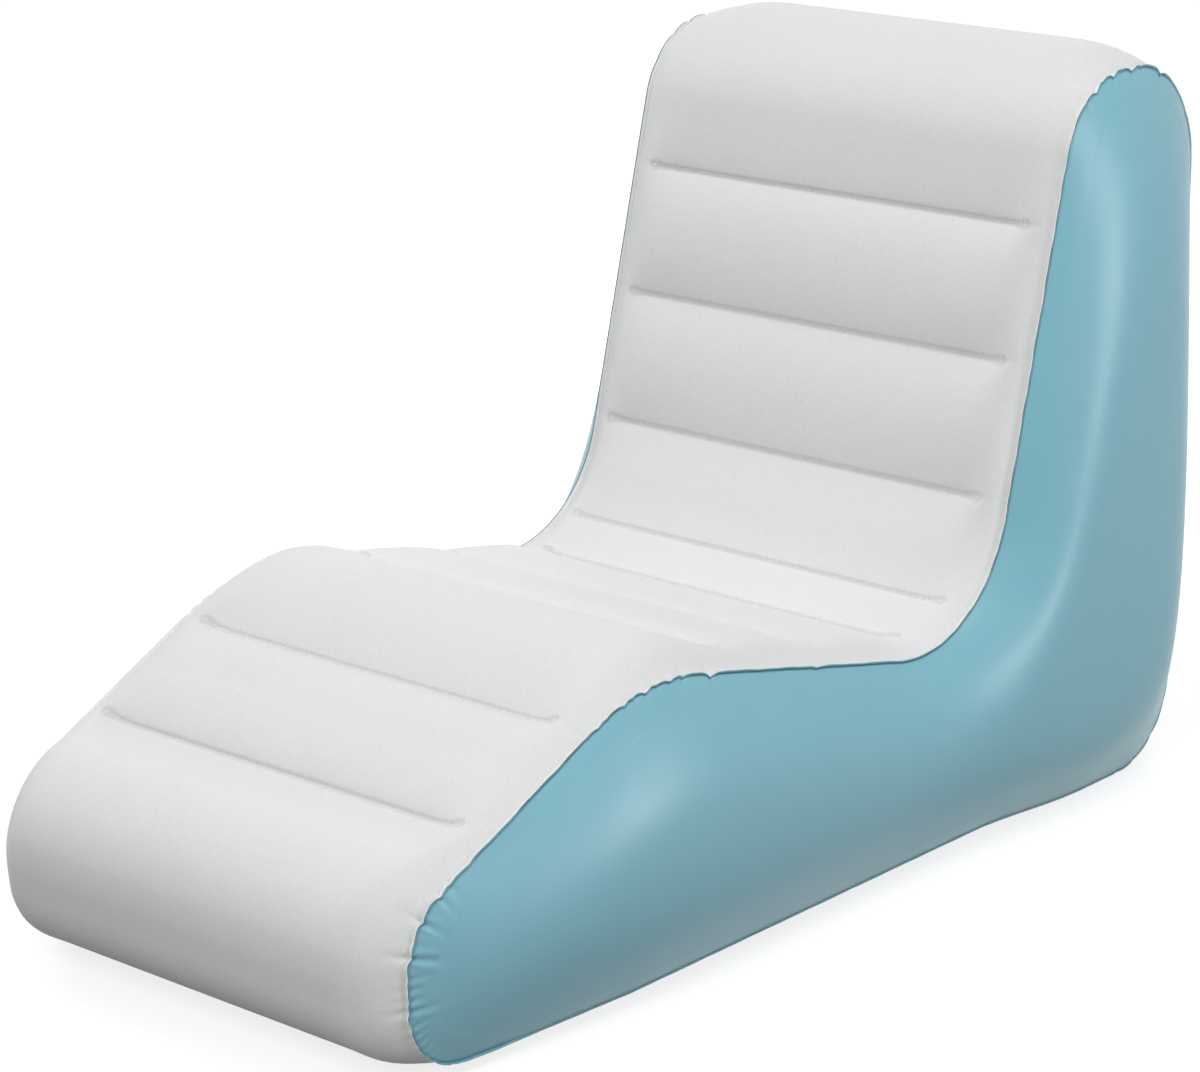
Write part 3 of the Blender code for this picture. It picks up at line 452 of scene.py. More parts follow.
def seam_steps(seam, start, end, with_welds):
    """Distances from start to end: fine where the seam is puckered and beside the welds."""
    places = [start]
    while places[-1] < end:
        here = places[-1]
        lap = here - seam.path.length if here > seam.path.length else here
        fine = any(low <= lap < high for low, high in PUCKERED_SPANS)
        places.append(here + (FINE_STEP if fine else PLAIN_STEP))
    places[-1] = end
    if places[-1] - places[-2] < FINE_STEP / 2:
        places.pop(-2)
    places = np.array(places)
    if with_welds:
        welds = seam.welds[(seam.welds > start) & (seam.welds < end)]
        reach = WELD_ROWS[-1] + FINE_STEP / 2
        clear = np.abs(places[:, None] - welds[None, :]).min(1) > reach
        clear[[0, -1]] = True
        beside = [weld + side * step for weld in welds for side in (-1, 1) for step in WELD_ROWS]
        places = np.unique(np.concatenate([places[clear], welds, beside]))
    return places


def pinch_of(lap, puckers):
    pinch = np.zeros(len(lap))
    for place, depth, *unused in puckers:
        pinch += PINCH_STRENGTH * depth * np.exp(-np.abs(lap - place) / PINCH_REACH)
    return pinch


def crease_of(lap, off_seam, puckers, flock):
    """Depth of the creases that run from the pinches into a sheet."""
    depth = np.zeros(off_seam.shape)
    strength = FLOCK_CREASE if flock else TEAL_CREASE
    for place, pinch, teal_length, flock_length in puckers:
        length = flock_length if flock else teal_length
        beside = (lap - place)[:, None]
        width = CREASE_WIDTH + CREASE_SPREAD * off_seam
        ridge = np.exp(-((np.abs(beside) - CREASE_RIDGE_PLACE * width) / width) ** 2)
        valley = np.exp(-(beside / width) ** 2) - CREASE_RIDGE * ridge
        depth += strength * pinch * valley * np.exp(-off_seam / length)
    return depth


def fin_of(lap, puckers):
    """Turn of the fin from the outward direction to the side, in radians, and its width."""
    start, end = HIDDEN_FIN
    hidden = smooth_step(start, start + FIN_TURN, lap) * (1 - smooth_step(end - FIN_TURN, end, lap))
    width = FIN_WIDTH + (HIDDEN_FIN_WIDTH - FIN_WIDTH) * hidden
    seen = TOE_FIN_TILT + (SEEN_FIN_TILT - TOE_FIN_TILT) * smooth_step(*TOE_FIN_END, lap)
    tilt = seen + (HIDDEN_FIN_TILT - seen) * hidden
    for height, pace, shift in FIN_WAVES:
        tilt += height * np.sin(lap * pace + shift)
    for index, (place, depth, *unused) in enumerate(puckers):
        side = 1 if index % 2 else -1
        beside = lap - place - side * FIN_SWING_PLACE
        tilt += side * FIN_SWING * depth * np.exp(-(beside / FIN_SWING_REACH) ** 2)
    return tilt, width[:, None]


def seam_edge(points, normal, section, seam, puckers, flock, side_panel=False, spare=0.0):
    """Pinches and creases a sheet beside the seam and adds the fin's middle and tip."""
    lap, outward = seam.lap(section["s"]), spatial(section["outward"])
    steps = np.linalg.norm(np.diff(points, axis=1), axis=2)
    off_seam = np.concatenate([np.cumsum(steps[:, ::-1], 1)[:, ::-1], np.zeros((len(points), 1))], 1)
    fade = 1 - smooth_step(*SIDE_PUCKER_END, off_seam) if side_panel else np.ones(off_seam.shape)
    pinch_fade = SIDE_PINCH_FADE if side_panel else SHEET_PINCH_FADE
    depth = crease_of(lap, off_seam, puckers, flock) * smooth_step(0, CREASE_START, off_seam) * fade
    pinch = pinch_of(lap, puckers)[:, None] * np.exp(-off_seam / pinch_fade) * fade
    moved = points - normal * depth[:, :, None] - outward[:, None, :] * pinch[:, :, None]
    tilt, width = fin_of(lap, puckers)
    fin = ACROSS * np.sin(tilt)[:, None] + outward * np.cos(tilt)[:, None]
    middle = (ACROSS + outward) / math.sqrt(2)
    fold = moved[:, -1]
    bent = fold + (middle + fin) * (0.25 * width)
    tip = fold + fin * (width + spare)
    return np.concatenate([moved, bent[:, None], tip[:, None]], 1)


# Sheets

def mesh_object(name, points, faces):
    mesh = bpy.data.meshes.new(name)
    mesh.from_pydata([tuple(point) for point in points], [], faces)
    mesh.validate()
    made = bpy.data.objects.new(name, mesh)
    bpy.context.scene.collection.objects.link(made)
    return made


def point_attribute(item, name, values):
    layer = item.data.attributes.new(name, "FLOAT", "POINT")
    layer.data.foreach_set("value", np.asarray(values, np.float32).ravel())


def select_only(item):
    bpy.ops.object.select_all(action="DESELECT")
    item.select_set(True)
    bpy.context.view_layer.objects.active = item


def give_thickness(item, thickness):
    select_only(item)
    bpy.ops.object.modifier_add(type="SOLIDIFY")
    shell = item.modifiers[-1]
    shell.thickness = thickness
    shell.offset = -1
    shell.use_rim = True
    bpy.ops.object.modifier_apply(modifier=shell.name)
    bpy.ops.object.shade_smooth_by_angle(angle=SMOOTH_ANGLE)


def columns_of(section):
    """Distances from the middle plane, from the middle out to the seam, closer beside the weld's end."""
    half, weld_half = section["half"][:, None], section["weld_half"][:, None]
    start = weld_half - BEFORE_WELD_END
    middle = start * np.linspace(0, 1, MIDDLE_COLUMNS)[None, :]
    crossed = (BEFORE_WELD_END + AFTER_WELD_END) * np.arange(1, END_COLUMNS + 1)[None, :] / END_COLUMNS
    left = (OUTER_COLUMNS - np.arange(1, OUTER_COLUMNS + 1)[None, :]) / OUTER_COLUMNS
    outer = half - (half - weld_half - AFTER_WELD_END) * left ** OUTER_CROWDING
    return np.concatenate([middle, start + crossed, outer], 1)


def pressed_line(section, x):
    """Depth of the pressed weld line and how far each point lies in it, 0 to 1."""
    off = np.abs(section["from_weld"])[:, None]
    pad = section["weld_half"][:, None] - PAD_RADIUS
    width = LINE_HALF + (PAD_RADIUS - LINE_HALF) * smooth_step(0, 1, (x - pad + PAD_NECK) / PAD_NECK)
    from_pad = np.hypot(x - pad, off)
    outside = np.where(x < pad, off - width, from_pad - PAD_RADIUS)
    pressed = 1 - smooth_step(*LINE_SOFT, outside)
    dot = 1 - smooth_step(DOT_RADIUS - DOT_SOFT, DOT_RADIUS + DOT_SOFT, from_pad)
    return LINE_DEPTH * (pressed - DOT_SHARE * dot), pressed * (1 - dot)


def half_sheet(section, seam, thickness, puckers, flock):
    """Points from the middle to the fin's tip on +X, and how far each lies in the pressed line."""
    x = columns_of(section)
    half, weld_half, edge, carry, proud, rise, swell = (
        section[name][:, None] for name in ("half", "weld_half", "edge", "carry", "proud", "rise", "swell"))
    roundness = dome(np.minimum(1, (half - x) / edge))
    flat = smooth_step(0, 1, (half - x) / (half - weld_half))
    past_end = smooth_step(weld_half - CHANNEL_FADE_INSIDE, weld_half + CHANNEL_FADE_OUTSIDE, x)
    channel = carry + (1 - carry) * (1 - past_end)
    depth, pressed = pressed_line(section, x)
    height = (proud * (roundness + (1 - roundness) * flat)
              + roundness * rise * (1 - channel * (1 - swell)) - depth)
    seam_point, outward = spatial(section["point"]), spatial(section["outward"])
    points = seam_point[:, None, :] + outward[:, None, :] * height[:, :, None]
    points[:, :, 0] = x
    away = (outward - ACROSS) / math.sqrt(2)
    points[:, -1] = seam_point + ACROSS * half + away * (thickness + WELD_GAP / 2)
    normal = unit(np.cross(np.gradient(points, axis=1), np.gradient(points, axis=0)))
    normal = normal * np.sign((normal[:, 0] * outward).sum(1))[:, None, None]
    return seam_edge(points, normal, section, seam, puckers, flock), pressed


def mirrored(points):
    return points * np.array([-1.0, 1.0, 1.0])


def whole_rows(section, seam, thickness, flock):
    """Rows of a sheet from the right fin's tip to the left one's, with the pressed mask."""
    left, pressed = half_sheet(section, seam, thickness, LEFT_PUCKERS, flock)
    right = half_sheet(section, seam, thickness, RIGHT_PUCKERS, flock)[0]
    rows = np.concatenate([mirrored(right)[:, :0:-1], left], 1)
    on_fin = np.zeros((len(pressed), 2))
    mask = np.concatenate([on_fin, pressed[:, :0:-1], pressed, on_fin], 1)
    return rows, mask


def grid_object(name, rows, mask, left_out=None):
    count, width = rows.shape[:2]
    index = np.arange(count * width).reshape(count, width)
    quads = np.stack([index[:-1, :-1], index[:-1, 1:], index[1:, 1:], index[1:, :-1]], 2)
    if left_out is not None:
        quads = quads[~left_out]
    quads = quads.reshape(-1, 4)
    used = np.unique(quads)
    order = np.full(count * width, -1)
    order[used] = np.arange(len(used))
    item = mesh_object(name, rows.reshape(-1, 3)[used], order[quads].tolist())
    # Mask of the +X fin, which the flocked finish paints brighter: partly the fin's unflocked vinyl, partly a
    # painted highlight along its edge
    fin = np.zeros((count, width))
    fin[:, -2:] = 1
    point_attribute(item, "pressed", mask.reshape(-1)[used])
    point_attribute(item, "fin", fin.reshape(-1)[used])
    return item


def face_outwards(item, probe, direction):
    """Turns the faces round if the one nearest to the probe looks the wrong way."""
    mesh = item.data
    nearest = min(mesh.polygons, key=lambda face: (face.center - Vector(probe)).length_squared)
    if nearest.normal.dot(Vector(direction)) < 0:
        mesh.flip_normals()


def flocked_sheet(seam):
    section = seam.sections(seam_steps(seam, seam.toe_low, seam.head_rear, True))
    rows, mask = whole_rows(section, seam, TOP_THICKNESS, True)
    item = grid_object("flocked_top", rows, mask)
    face_outwards(item, (0, -0.1, 0.36), (0, 0, 1))
    give_thickness(item, TOP_THICKNESS)
    return item


def base_sheet(seam):
    """The vinyl sheet over the rear and the underside; its two ends step in under the flocked sheet."""
    places = seam_steps(seam, seam.head_rear, seam.end, True)
    first, last = places[0], places[-1]
    inner = places[(places > first + LAP_CLEAR) & (places < last - LAP_CLEAR)]
    tongue, steps = np.array([LAP_WIDTH, LAP_WIDTH / 2]), np.array(LAP_ROWS)
    places = np.concatenate([first - tongue, first + steps, inner, last - steps[::-1], last + tongue[::-1]])
    section = seam.sections(np.where(places > seam.end, places - seam.path.length, places))
    rows, mask = whole_rows(section, seam, VINYL_THICKNESS, False)
    from_end = np.minimum(places - seam.head_rear, seam.end - places)
    sink = LAP_SINK * (1 - smooth_step(LAP_ROWS[0], LAP_ROWS[0] + LAP_STEP, from_end))
    rows = rows - spatial(section["outward"])[:, None, :] * sink[:, None, None]
    count, width = rows.shape[:2]
    left_out = np.zeros((count - 1, width - 1), bool)
    for row in (0, 1, count - 3, count - 2):
        left_out[row, :LAP_CUT_COLUMNS] = True
        left_out[row, width - 1 - LAP_CUT_COLUMNS:] = True
    rear = seam.path.at([seam.path.arc_spans[REAR_FLOOR][0]])[0][0, 0] - MIDDLE_ALONG
    valve = np.array([0.0, rear + BASE_LOBE, VALVE_HEIGHT])
    centres = (rows[:-1, :-1] + rows[1:, 1:]) / 2
    left_out |= np.linalg.norm(centres - valve, axis=2) < VALVE_HOLE_RADIUS + VALVE_HOLE_MARGIN
    item = grid_object("vinyl_base", rows, mask, left_out)
    round_hole(item, valve, VALVE_HOLE_RADIUS)
    face_outwards(item, (0, -0.08, 0), (0, 0, -1))
    give_thickness(item, VINYL_THICKNESS)
    return item


def round_hole(item, centre, radius):
    """Draws the rim of the hole left for the valve onto a circle."""
    bm = bmesh.new()
    bm.from_mesh(item.data)
    for vertex in bm.verts:
        arm = vertex.co - Vector(centre)
        if vertex.is_boundary and arm.length < 2 * radius:
            arm.y = 0
            vertex.co = Vector((centre[0], vertex.co.y, centre[2])) + arm.normalized() * radius
    bm.to_mesh(item.data)
    bm.free()


def inside_polygon(points, polygon):
    x, y = points[:, 0], points[:, 1]
    inside = np.zeros(len(points), bool)
    for (ax, ay), (bx, by) in zip(polygon, np.roll(polygon, -1, 0)):
        crosses = (ay > y) != (by > y)
        at = ax + (bx - ax) * (y - ay) / (by - ay + 1e-15)
        inside ^= crosses & (x < at)
    return inside


def distance_to_polygon(points, polygon):
    nearest = np.full(len(points), np.inf)
    for start, end in zip(polygon, np.roll(polygon, -1, 0)):
        along = end - start
        share = np.clip((points - start) @ along / (along @ along), 0, 1)
        nearest = np.minimum(nearest, np.linalg.norm(points - start - share[:, None] * along, axis=1))
    return nearest


def film_height(points, triangles, fixed, height, load):
    """Height of a film over the outline under an even load, held where it is fixed."""
    count = len(points)
    first, second, weight = [], [], []
    area = np.zeros(count)
    for a, b, c in ((0, 1, 2), (1, 2, 0), (2, 0, 1)):
        p, q, r = (points[triangles[:, k]] for k in (a, b, c))
        u, v = q - p, r - p
        cross = np.abs(u[:, 0] * v[:, 1] - u[:, 1] * v[:, 0]) + 1e-14
        first.append(triangles[:, b])
        second.append(triangles[:, c])
        weight.append((u * v).sum(1) / cross / 2)
        area += np.bincount(triangles[:, a], cross / 6, count)
    first, second, weight = map(np.concatenate, (first, second, weight))
    diagonal = np.bincount(first, weight, count) + np.bincount(second, weight, count)
    free = ~fixed

    def pulled(height):
        side = np.bincount(first, weight * height[second], count)
        side += np.bincount(second, weight * height[first], count)
        return np.where(free, diagonal * height - side, 0)

    height = height.copy()
    left = np.where(free, load * area, 0) - pulled(height)
    ready = np.where(free, left / diagonal, 0)
    step, power = ready.copy(), left @ ready
    for unused in range(FILM_STEPS):
        moved = pulled(step)
        size = power / (step @ moved)
        height += size * step
        left -= size * moved
        ready = np.where(free, left / diagonal, 0)
        now = left @ ready
        if now < FILM_LEFT:
            break
        step = ready + step * (now / power)
        power = now
    return height


def bulge_of(height):
    value = SIDE_EDGE_SLOPE * height / SIDE_RADIUS
    return value * SIDE_BULGE / (value ** RIDGE_POWER + SIDE_BULGE ** RIDGE_POWER) ** (1 / RIDGE_POWER)


def side_flat(seam):
    """The side panel's flat outline: rings inside the seam, and a lattice within the last ring."""
    places = seam_steps(seam, seam.toe_low, seam.end, False)[:-1]
    section = seam.sections(places)
    rings = [section["point"] - section["outward"] * depth for depth in SIDE_RINGS]
    last = rings[-1]
    low, high = last.min(0), last.max(0)
    row_gap = LATTICE * math.sqrt(3) / 2
    lattice = []
    for row, z in enumerate(np.arange(low[1], high[1], row_gap)):
        shift = LATTICE / 2 if row % 2 else 0
        for y in np.arange(low[0] + shift, high[0], LATTICE):
            lattice.append((y, z))
    lattice = np.array(lattice)
    lattice = lattice[inside_polygon(lattice, last)]
    lattice = lattice[distance_to_polygon(lattice, last) > LATTICE_CLEAR * LATTICE]
    count = len(places)
    loop = [(k, (k + 1) % count) for k in range(count)]
    cloud = [Vector(point) for point in np.concatenate([last, lattice])]
    made = geometry.delaunay_2d_cdt(cloud, loop, [list(range(count))], 1, 1e-7)
    offset = (len(SIDE_RINGS) - 1) * count
    number = {new: offset + old[0] for new, old in enumerate(made[3]) if old}
    triangles = [tuple(number[k] for k in face) for face in made[2] if len(face) == 3]
    points = np.concatenate(rings[:-1] + [last, lattice])
    quads = []
    for outer in range(0, offset, count):
        inner = outer + count
        quads.extend((outer + k, outer + after, inner + after, inner + k) for k, after in loop)
    return section, points, quads, triangles


def side_form(seam):
    """What both side panels share, without puckers and fin: sections at the seam, points on +X, faces."""
    section, points, quads, triangles = side_flat(seam)
    halves = [(a, b, c) for a, b, c, d in quads] + [(a, c, d) for a, b, c, d in quads]
    split = np.array(halves + triangles)
    fixed = np.arange(len(points)) < len(section["s"])
    rim = np.full(len(points), SEAM_HALF)
    rim[fixed] = section["half"]
    width = film_height(points, split, fixed, rim, 0)
    film = film_height(points, split, fixed, np.where(fixed, 0.0, FILM_START), 1)
    reach = width + bulge_of(np.maximum(0, film))
    return section, np.stack([reach, points[:, 0], points[:, 1]], 1), quads + triangles


def side_panel(name, seam, form, side, puckers):
    """A side panel with its puckers and its fin, on +X or, where side is -1, on -X."""
    section, place, faces = form
    count, rings = len(section["s"]), len(SIDE_RINGS)
    by_section = place[:rings * count].reshape(rings, count, 3).transpose(1, 0, 2).copy()
    away = (ACROSS - spatial(section["outward"])) / math.sqrt(2)
    by_section[:, 0] = ACROSS * section["half"][:, None] + spatial(section["point"])
    by_section[:, 0] += away * (VINYL_THICKNESS + WELD_GAP / 2)
    inward = by_section[:, ::-1]
    along = np.roll(inward, -1, 0) - np.roll(inward, 1, 0)
    normal = unit(np.cross(np.gradient(inward, axis=1), along))
    normal = normal * np.where(normal[:, :, :1] < 0, -1, 1)
    # Beside the backrest the right fin is wider, and its tip there gets painted shade through the fold
    # attribute
    wider_and_shaded = smooth_step(*RIGHT_SPARE_RISE, section["s"]) * (1 - smooth_step(*RIGHT_SPARE_FALL, section["s"]))
    if side > 0:
        wider_and_shaded = np.zeros(count)
    spare = RIGHT_FIN_SPARE * wider_and_shaded[:, None]
    shaped = seam_edge(inward, normal, section, seam, puckers, False, True, spare)
    ring_points = shaped[:, :rings][:, ::-1].transpose(1, 0, 2).reshape(-1, 3)
    place = np.concatenate([ring_points, place[rings * count:], shaped[:, rings], shaped[:, rings + 1]])
    start = len(place) - 2 * count
    faces = list(faces)
    for k in range(count):
        after = (k + 1) % count
        faces.append((start + k, start + after, after, k))
        faces.append((start + count + k, start + count + after, start + after, start + k))
    if side < 0:
        place = mirrored(place)
    item = mesh_object(name, place, faces)
    # Painted shade for the teal finish: full in the fold at the seam and fading within a few millimetres,
    # part strength on the fin's middle, and on the right fin's tip beside the backrest
    fold = np.zeros(len(place))
    fold[:rings * count] = 1 - smooth_step(*FOLD_PAINTED_SHADE_SPAN, np.repeat(SIDE_RINGS, count))
    fold[start:start + count] = FIN_PAINTED_SHADE
    fold[start + count:] = wider_and_shaded
    point_attribute(item, "fold", fold)
    face_outwards(item, (side * 0.39, 0.45, 0.5), (side, 0, 0))
    give_thickness(item, VINYL_THICKNESS)
    return item


def web(name, seam, top_place, base_place):
    """A tension web from the underside of a top weld to the inside of the weld below or behind it."""
    section = seam.sections([top_place, base_place])
    point, outward = spatial(section["point"]), spatial(section["outward"])
    inset = np.array([TOP_THICKNESS, VINYL_THICKNESS]) + LINE_DEPTH + 2 * WELD_GAP
    top, base = point + outward * (section["proud"] - inset)[:, None]
    top_tongue, base_tongue = WEB_TONGUE * outward[:, [0, 2, 1]] * np.array([0, 1, -1])
    half = float(section["weld_half"].min()) - WEB_INSET
    shares = np.linspace(0, 1, WEB_ROWS)
    centres = np.array([base - base_tongue, base - base_tongue / 2,
                        *(base + (top - base) * share for share in shares),
                        top + top_tongue / 2, top + top_tongue])
    waists = np.concatenate([[0, 0], np.sin(math.pi * shares), [0, 0]])
    x = np.linspace(-1, 1, WEB_COLUMNS)[None, :] * half * (1 - WEB_WAIST * waists)[:, None]
    points = centres[:, None, :] + ACROSS * x[:, :, None]
    width = WEB_COLUMNS
    faces = [(r * width + c, r * width + c + 1, (r + 1) * width + c + 1, (r + 1) * width + c)
             for r in range(len(centres) - 1) for c in range(width - 1)]
    item = mesh_object(name, points.reshape(-1, 3), faces)
    item.data.flip_normals()
    give_thickness(item, WEB_THICKNESS)
    return item, 2 * half, float(np.linalg.norm(top - base)) + 2 * WEB_TONGUE


# Finishes

RIB_PITCH = 0.0072


class Nodes:
    """A node tree under construction."""

    def __init__(self, tree):
        self.tree = tree

    def node(self, kind, **settings):
        node = self.tree.nodes.new(kind)
        for key, value in settings.items():
            setattr(node, key, value)
        return node

    def link(self, source, target):
        self.tree.links.new(source, target)

    def give(self, socket, value):
        """Sets a number or a colour on the socket, or links what makes it."""
        if isinstance(value, tuple):
            socket.default_value = (*value, 1)
        elif isinstance(value, (int, float)):
            socket.default_value = value
        else:
            self.link(value, socket)

    def calc(self, kind, first, second):
        node = self.node("ShaderNodeMath", operation=kind)
        self.give(node.inputs[0], first)
        self.give(node.inputs[1], second)
        return node.outputs[0]

    def seen(self):
        """1 for rays from the camera, off gloss and through glass, 0 for those that light the object."""
        rays = self.node("ShaderNodeLightPath")
        seen = self.calc("MAXIMUM", rays.outputs["Is Camera Ray"], rays.outputs["Is Glossy Ray"])
        return self.calc("MAXIMUM", seen, rays.outputs["Is Transmission Ray"])


class Finish(Nodes):
    """A material around one Principled shader."""

    def __init__(self, name):
        self.made = bpy.data.materials.new(name)
        self.made.use_nodes = True
        super().__init__(self.made.node_tree)
        self.shader = self.tree.nodes["Principled BSDF"]
        self.place = self.node("ShaderNodeTexCoord").outputs["Object"]

    def noise(self, scale, detail=2.0, roughness=0.5):
        node = self.node("ShaderNodeTexNoise")
        node.inputs["Scale"].default_value = scale
        node.inputs["Detail"].default_value = detail
        node.inputs["Roughness"].default_value = roughness
        self.link(self.place, node.inputs["Vector"])
        return node.outputs["Fac"]

    def spread(self, source, low, high, from_low=0.3, from_high=0.7):
        node = self.node("ShaderNodeMapRange")
        self.link(source, node.inputs["Value"])
        node.inputs["From Min"].default_value = from_low
        node.inputs["From Max"].default_value = from_high
        node.inputs["To Min"].default_value = low
        node.inputs["To Max"].default_value = high
        return node.outputs["Result"]

    def mix(self, share, first, second):
        node = self.node("ShaderNodeMix", data_type="RGBA")
        for index, value in ((0, share), (6, first), (7, second)):
            self.give(node.inputs[index], value)
        return node.outputs[2]

    def bump(self, height, strength, distance, under=None):
        node = self.node("ShaderNodeBump")
        node.inputs["Strength"].default_value = strength
        node.inputs["Distance"].default_value = distance
        self.link(height, node.inputs["Height"])
        if under is not None:
            self.link(under, node.inputs["Normal"])
        return node.outputs["Normal"]

    def attribute(self, name):
        return self.node("ShaderNodeAttribute", attribute_name=name).outputs["Fac"]

    def set(self, **values):
        for key, value in values.items():
            self.give(self.shader.inputs[key.replace("_", " ")], value)


def flock_finish():
    finish = Finish("flocked_vinyl")
    pressed = finish.attribute("pressed")
    nap = finish.noise(1500, 3, 0.6)
    drift = finish.noise(7, 3, 0.55)
    fleck = finish.noise(260, 2, 0.6)
    tone = finish.mix(finish.spread(drift, 0, 1), (0.735, 0.742, 0.752), (0.765, 0.768, 0.770))
    tone = finish.mix(finish.spread(fleck, 0, 1), tone, (0.80, 0.80, 0.80))
    tone = finish.mix(finish.calc("MULTIPLY", pressed, 0.48), tone, (0.57, 0.575, 0.585))
    # Brighter white on the +X fin: partly the fin's unflocked vinyl, partly a painted highlight where its
    # edge catches the light
    tone = finish.mix(finish.attribute("fin"), tone, (0.92, 0.93, 0.93))
    finish.set(Base_Color=tone, Roughness=finish.spread(nap, 0.80, 0.96))
    finish.set(Sheen_Weight=0.18, Sheen_Roughness=0.5)
    axes = finish.node("ShaderNodeSeparateXYZ")
    finish.link(finish.place, axes.inputs[0])
    ribs = finish.calc("SINE", finish.calc("MULTIPLY", axes.outputs["X"], 2 * math.pi / RIB_PITCH), 0.0)
    under = finish.bump(finish.calc("MULTIPLY", ribs, pressed), 0.6, 0.0005)
    under = finish.bump(finish.noise(38, 3, 0.6), 0.10, 0.002, under)
    finish.set(Normal=finish.bump(nap, 0.15, 0.0006, under))
    return finish.made


def teal_finish():
    finish = Finish("teal_vinyl")
    drift = finish.noise(4.5, 2, 0.5)
    cloud = finish.noise(16, 3, 0.6)
    grain = finish.noise(900, 2, 0.5)
    tone = finish.mix(finish.spread(drift, 0, 1), (0.220, 0.484, 0.576), (0.234, 0.497, 0.598))
    tone = finish.mix(finish.spread(cloud, 0, 0.5), tone, (0.240, 0.511, 0.590))
    # Painted shade: darker teal in the seam's fold, on the fin's middle and on the right fin's tip, following
    # the fold attribute
    tone = finish.mix(finish.calc("MULTIPLY", finish.attribute("fold"), 0.75), tone, (0.050, 0.130, 0.165))
    finish.set(Base_Color=tone, Roughness=finish.spread(cloud, 0.31, 0.37), Specular_IOR_Level=0.36)
    under = finish.bump(finish.noise(22, 2, 0.5), 0.05, 0.003)
    finish.set(Normal=finish.bump(grain, 0.05, 0.0004, under))
    return finish.made


def web_finish():
    finish = Finish("web_vinyl")
    tone = finish.mix(finish.spread(finish.noise(30, 3), 0, 1), (0.66, 0.67, 0.68), (0.73, 0.74, 0.74))
    finish.set(Base_Color=tone, Roughness=finish.spread(finish.noise(300), 0.5, 0.62))
    finish.set(Normal=finish.bump(finish.noise(700), 0.1, 0.0004))
    return finish.made


def plastic_finish():
    finish = Finish("valve_plastic")
    tone = finish.mix(finish.spread(finish.noise(90, 3), 0, 1), (0.74, 0.75, 0.75), (0.80, 0.80, 0.79))
    finish.set(Base_Color=tone, Roughness=finish.spread(finish.noise(500), 0.34, 0.46))
    finish.set(Subsurface_Weight=0.06)
    finish.set(Normal=finish.bump(finish.noise(1800, 2), 0.06, 0.0002))
    return finish.made


def rubber_finish(name, dark, pale, low, high):
    finish = Finish(name)
    tone = finish.mix(finish.spread(finish.noise(120, 3), 0, 1), dark, pale)
    finish.set(Base_Color=tone, Roughness=finish.spread(finish.noise(600), low, high))
    finish.set(Normal=finish.bump(finish.noise(1500, 2), 0.08, 0.0002))
    return finish.made


def dress(item, finish):
    item.data.materials.clear()
    item.data.materials.append(finish)


# Studio

SKY_COLOUR = (0.97, 0.985, 1.0)
SKY_STRENGTH = 0.02
FLOOR_SIZE = 30
FLOOR_GLOW = (0.80, 1.0)
FLOOR_GLOW_SPAN = (1.1, 2.4)

# Name, place, aim, width, height, power in watts
LAMPS = (
    ("front_softbox", (1.2, -3.2, 2.6), (0.0, 0.0, 0.45), 2.0, 2.0, 80),
    ("left_softbox", (-3.0, -0.6, 2.6), (0.0, 0.0, 0.45), 2.0, 2.0, 59),
    ("top_softbox", (1.6, 0.3, 4.0), (0.1, 0.0, 0.45), 2.0, 2.0, 62),
    ("side_softbox", (3.2, 1.1, 0.9), (0.3, 0.1, 0.45), 0.9, 1.4, 31),
    ("rear_softbox", (-1.7, 3.2, 2.2), (0.0, 0.5, 0.50), 2.0, 2.0, 34),
)

# The photo's camera: what it looks at, from where, how far off, and its lens in millimetres
CAMERA_AIM = (0, -0.0458, 0.40407)
CAMERA_AZIMUTH = math.radians(40.676)
CAMERA_ELEVATION = math.radians(16.593)
CAMERA_DISTANCE = 4.4594
CAMERA_LENS = 112.44
CAMERA_SENSOR = 36
CAMERA_END = 100


def floor_finish():
    """Pale floor that keeps the shadow; seen directly, it glows up to white with the distance."""
    finish = Finish("pale_floor")
    tone = finish.mix(finish.spread(finish.noise(3, 3), 0, 1), (0.29, 0.29, 0.29), (0.31, 0.31, 0.31))
    finish.set(Base_Color=tone, Roughness=0.9, Specular_IOR_Level=0.1)
    away = finish.node("ShaderNodeVectorMath", operation="LENGTH")
    finish.link(finish.place, away.inputs[0])
    brightness = finish.spread(away.outputs["Value"], *FLOOR_GLOW, *FLOOR_GLOW_SPAN)
    glow = finish.node("ShaderNodeEmission")
    finish.link(finish.calc("MULTIPLY", finish.seen(), brightness), glow.inputs["Strength"])
    both = finish.node("ShaderNodeAddShader")
    finish.link(finish.shader.outputs[0], both.inputs[0])
    finish.link(glow.outputs[0], both.inputs[1])
    finish.link(both.outputs[0], finish.tree.nodes["Material Output"].inputs["Surface"])
    return finish.made


def add_floor():
    bpy.ops.object.select_all(action="DESELECT")
    bpy.ops.mesh.primitive_plane_add(size=FLOOR_SIZE, location=(0, 0, 0))
    floor = bpy.context.object
    floor.name = "floor"
    floor.data.materials.append(floor_finish())


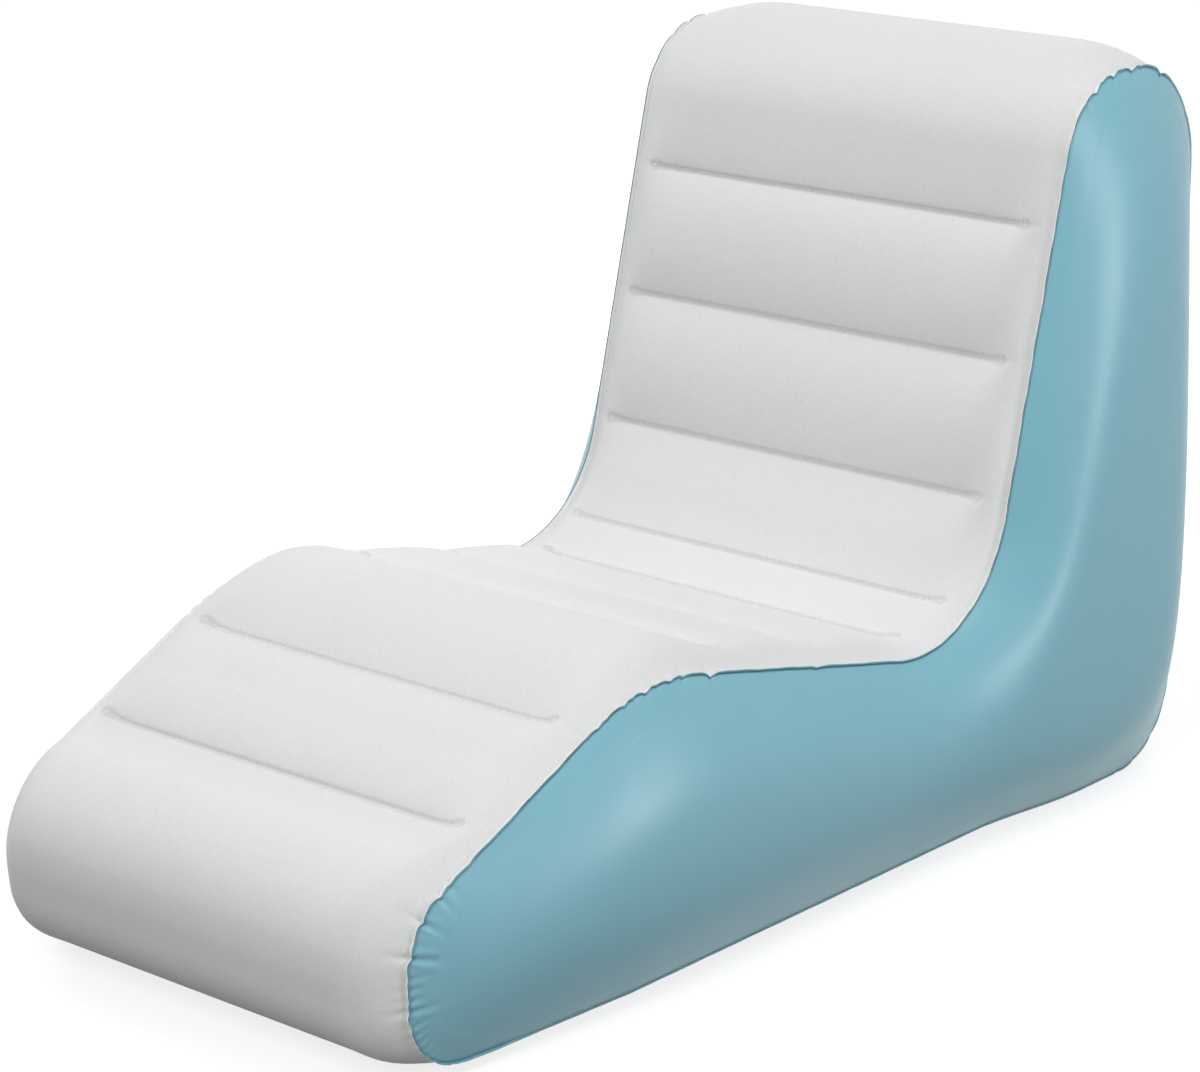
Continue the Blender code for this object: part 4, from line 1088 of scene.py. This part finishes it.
def add_sky():
    """A faint sky light, and white where the background is seen."""
    world = bpy.data.worlds.new("studio")
    bpy.context.scene.world = world
    world.use_nodes = True
    nodes = Nodes(world.node_tree)
    faint = nodes.tree.nodes["Background"]
    white = nodes.node("ShaderNodeBackground")
    for light, colour, strength in ((faint, SKY_COLOUR, SKY_STRENGTH), (white, (1, 1, 1), 1.0)):
        nodes.give(light.inputs["Color"], colour)
        nodes.give(light.inputs["Strength"], strength)
    mix = nodes.node("ShaderNodeMixShader")
    for source, target in zip((nodes.seen(), faint.outputs[0], white.outputs[0]), mix.inputs):
        nodes.link(source, target)
    nodes.link(mix.outputs[0], nodes.tree.nodes["World Output"].inputs["Surface"])


def placed(name, data, place, towards):
    """An object at a place that looks along a direction."""
    item = bpy.data.objects.new(name, data)
    item.location = place
    item.rotation_euler = towards.to_track_quat("-Z", "Y").to_euler()
    bpy.context.scene.collection.objects.link(item)
    return item


def add_lamps():
    for name, place, aim, width, height, power in LAMPS:
        lamp = bpy.data.lights.new(name, "AREA")
        lamp.shape = "RECTANGLE"
        lamp.size = width
        lamp.size_y = height
        lamp.energy = power
        placed(name, lamp, place, Vector(aim) - Vector(place))


def add_camera():
    level = math.cos(CAMERA_ELEVATION)
    back = Vector((math.sin(CAMERA_AZIMUTH) * level, -math.cos(CAMERA_AZIMUTH) * level,
                   math.sin(CAMERA_ELEVATION)))
    camera = bpy.data.cameras.new("camera")
    camera.lens = CAMERA_LENS
    camera.sensor_width = CAMERA_SENSOR
    camera.clip_end = CAMERA_END
    item = placed("camera", camera, Vector(CAMERA_AIM) + back * CAMERA_DISTANCE, -back)
    bpy.context.scene.camera = item
    bpy.context.scene.view_settings.view_transform = "Standard"


WEB_STANDS_FOR = (
    "leg_baffle_1", "leg_baffle_2", "seat_baffle_1", "seat_baffle_2", "seat_baffle_3",
    "back_baffle_4", "back_baffle_3", "back_baffle_2", "back_baffle_1",
)
PLASTIC_NODES = ("valve_base", "valve_plug", "flap_retainer", "valve_cap", "cap_strap")


def skin(seam):
    flock, teal = flock_finish(), teal_finish()
    top, base, form = flocked_sheet(seam), base_sheet(seam), side_form(seam)
    left = side_panel("vinyl_side_left", seam, form, 1, LEFT_PUCKERS)
    right = side_panel("vinyl_side_right", seam, form, -1, RIGHT_PUCKERS)
    for item, node, finish, slot in (
        (top, "flocked_top_sheet", flock, "flocked_vinyl"),
        (base, "base_sheet", teal, "teal_vinyl"),
        (left, "side_panel_left", teal, "teal_vinyl"),
        (right, "side_panel_right", teal, "teal_vinyl"),
    ):
        dress(item, finish)
        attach(item, "air_body")
        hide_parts(node)


def webs(seam):
    inner = web_finish()
    base_welds = reversed(seam.rear_welds + seam.bottom_welds)
    for name, top_place, base_place in zip(WEB_STANDS_FOR, seam.top_welds, base_welds):
        item, width, length = web(name.replace("baffle", "web"), seam, top_place, base_place)
        dress(item, inner)
        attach(item, "air_body")
        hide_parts(name)


def valve(nodes):
    plastic = plastic_finish()
    seal = rubber_finish("seal_rubber", (0.018, 0.019, 0.021), (0.030, 0.031, 0.033), 0.55, 0.72)
    clear = rubber_finish("flap_rubber", (0.52, 0.57, 0.57), (0.60, 0.64, 0.63), 0.38, 0.50)
    for node in PLASTIC_NODES:
        dress(nodes[node], plastic)
    dress(nodes["valve_gasket"], seal)
    dress(nodes["valve_flap"], clear)


def main():
    seam = Seam()
    skin(seam)
    webs(seam)
    valve(frame["nodes"])
    add_floor()
    add_sky()
    add_lamps()
    add_camera()


main()
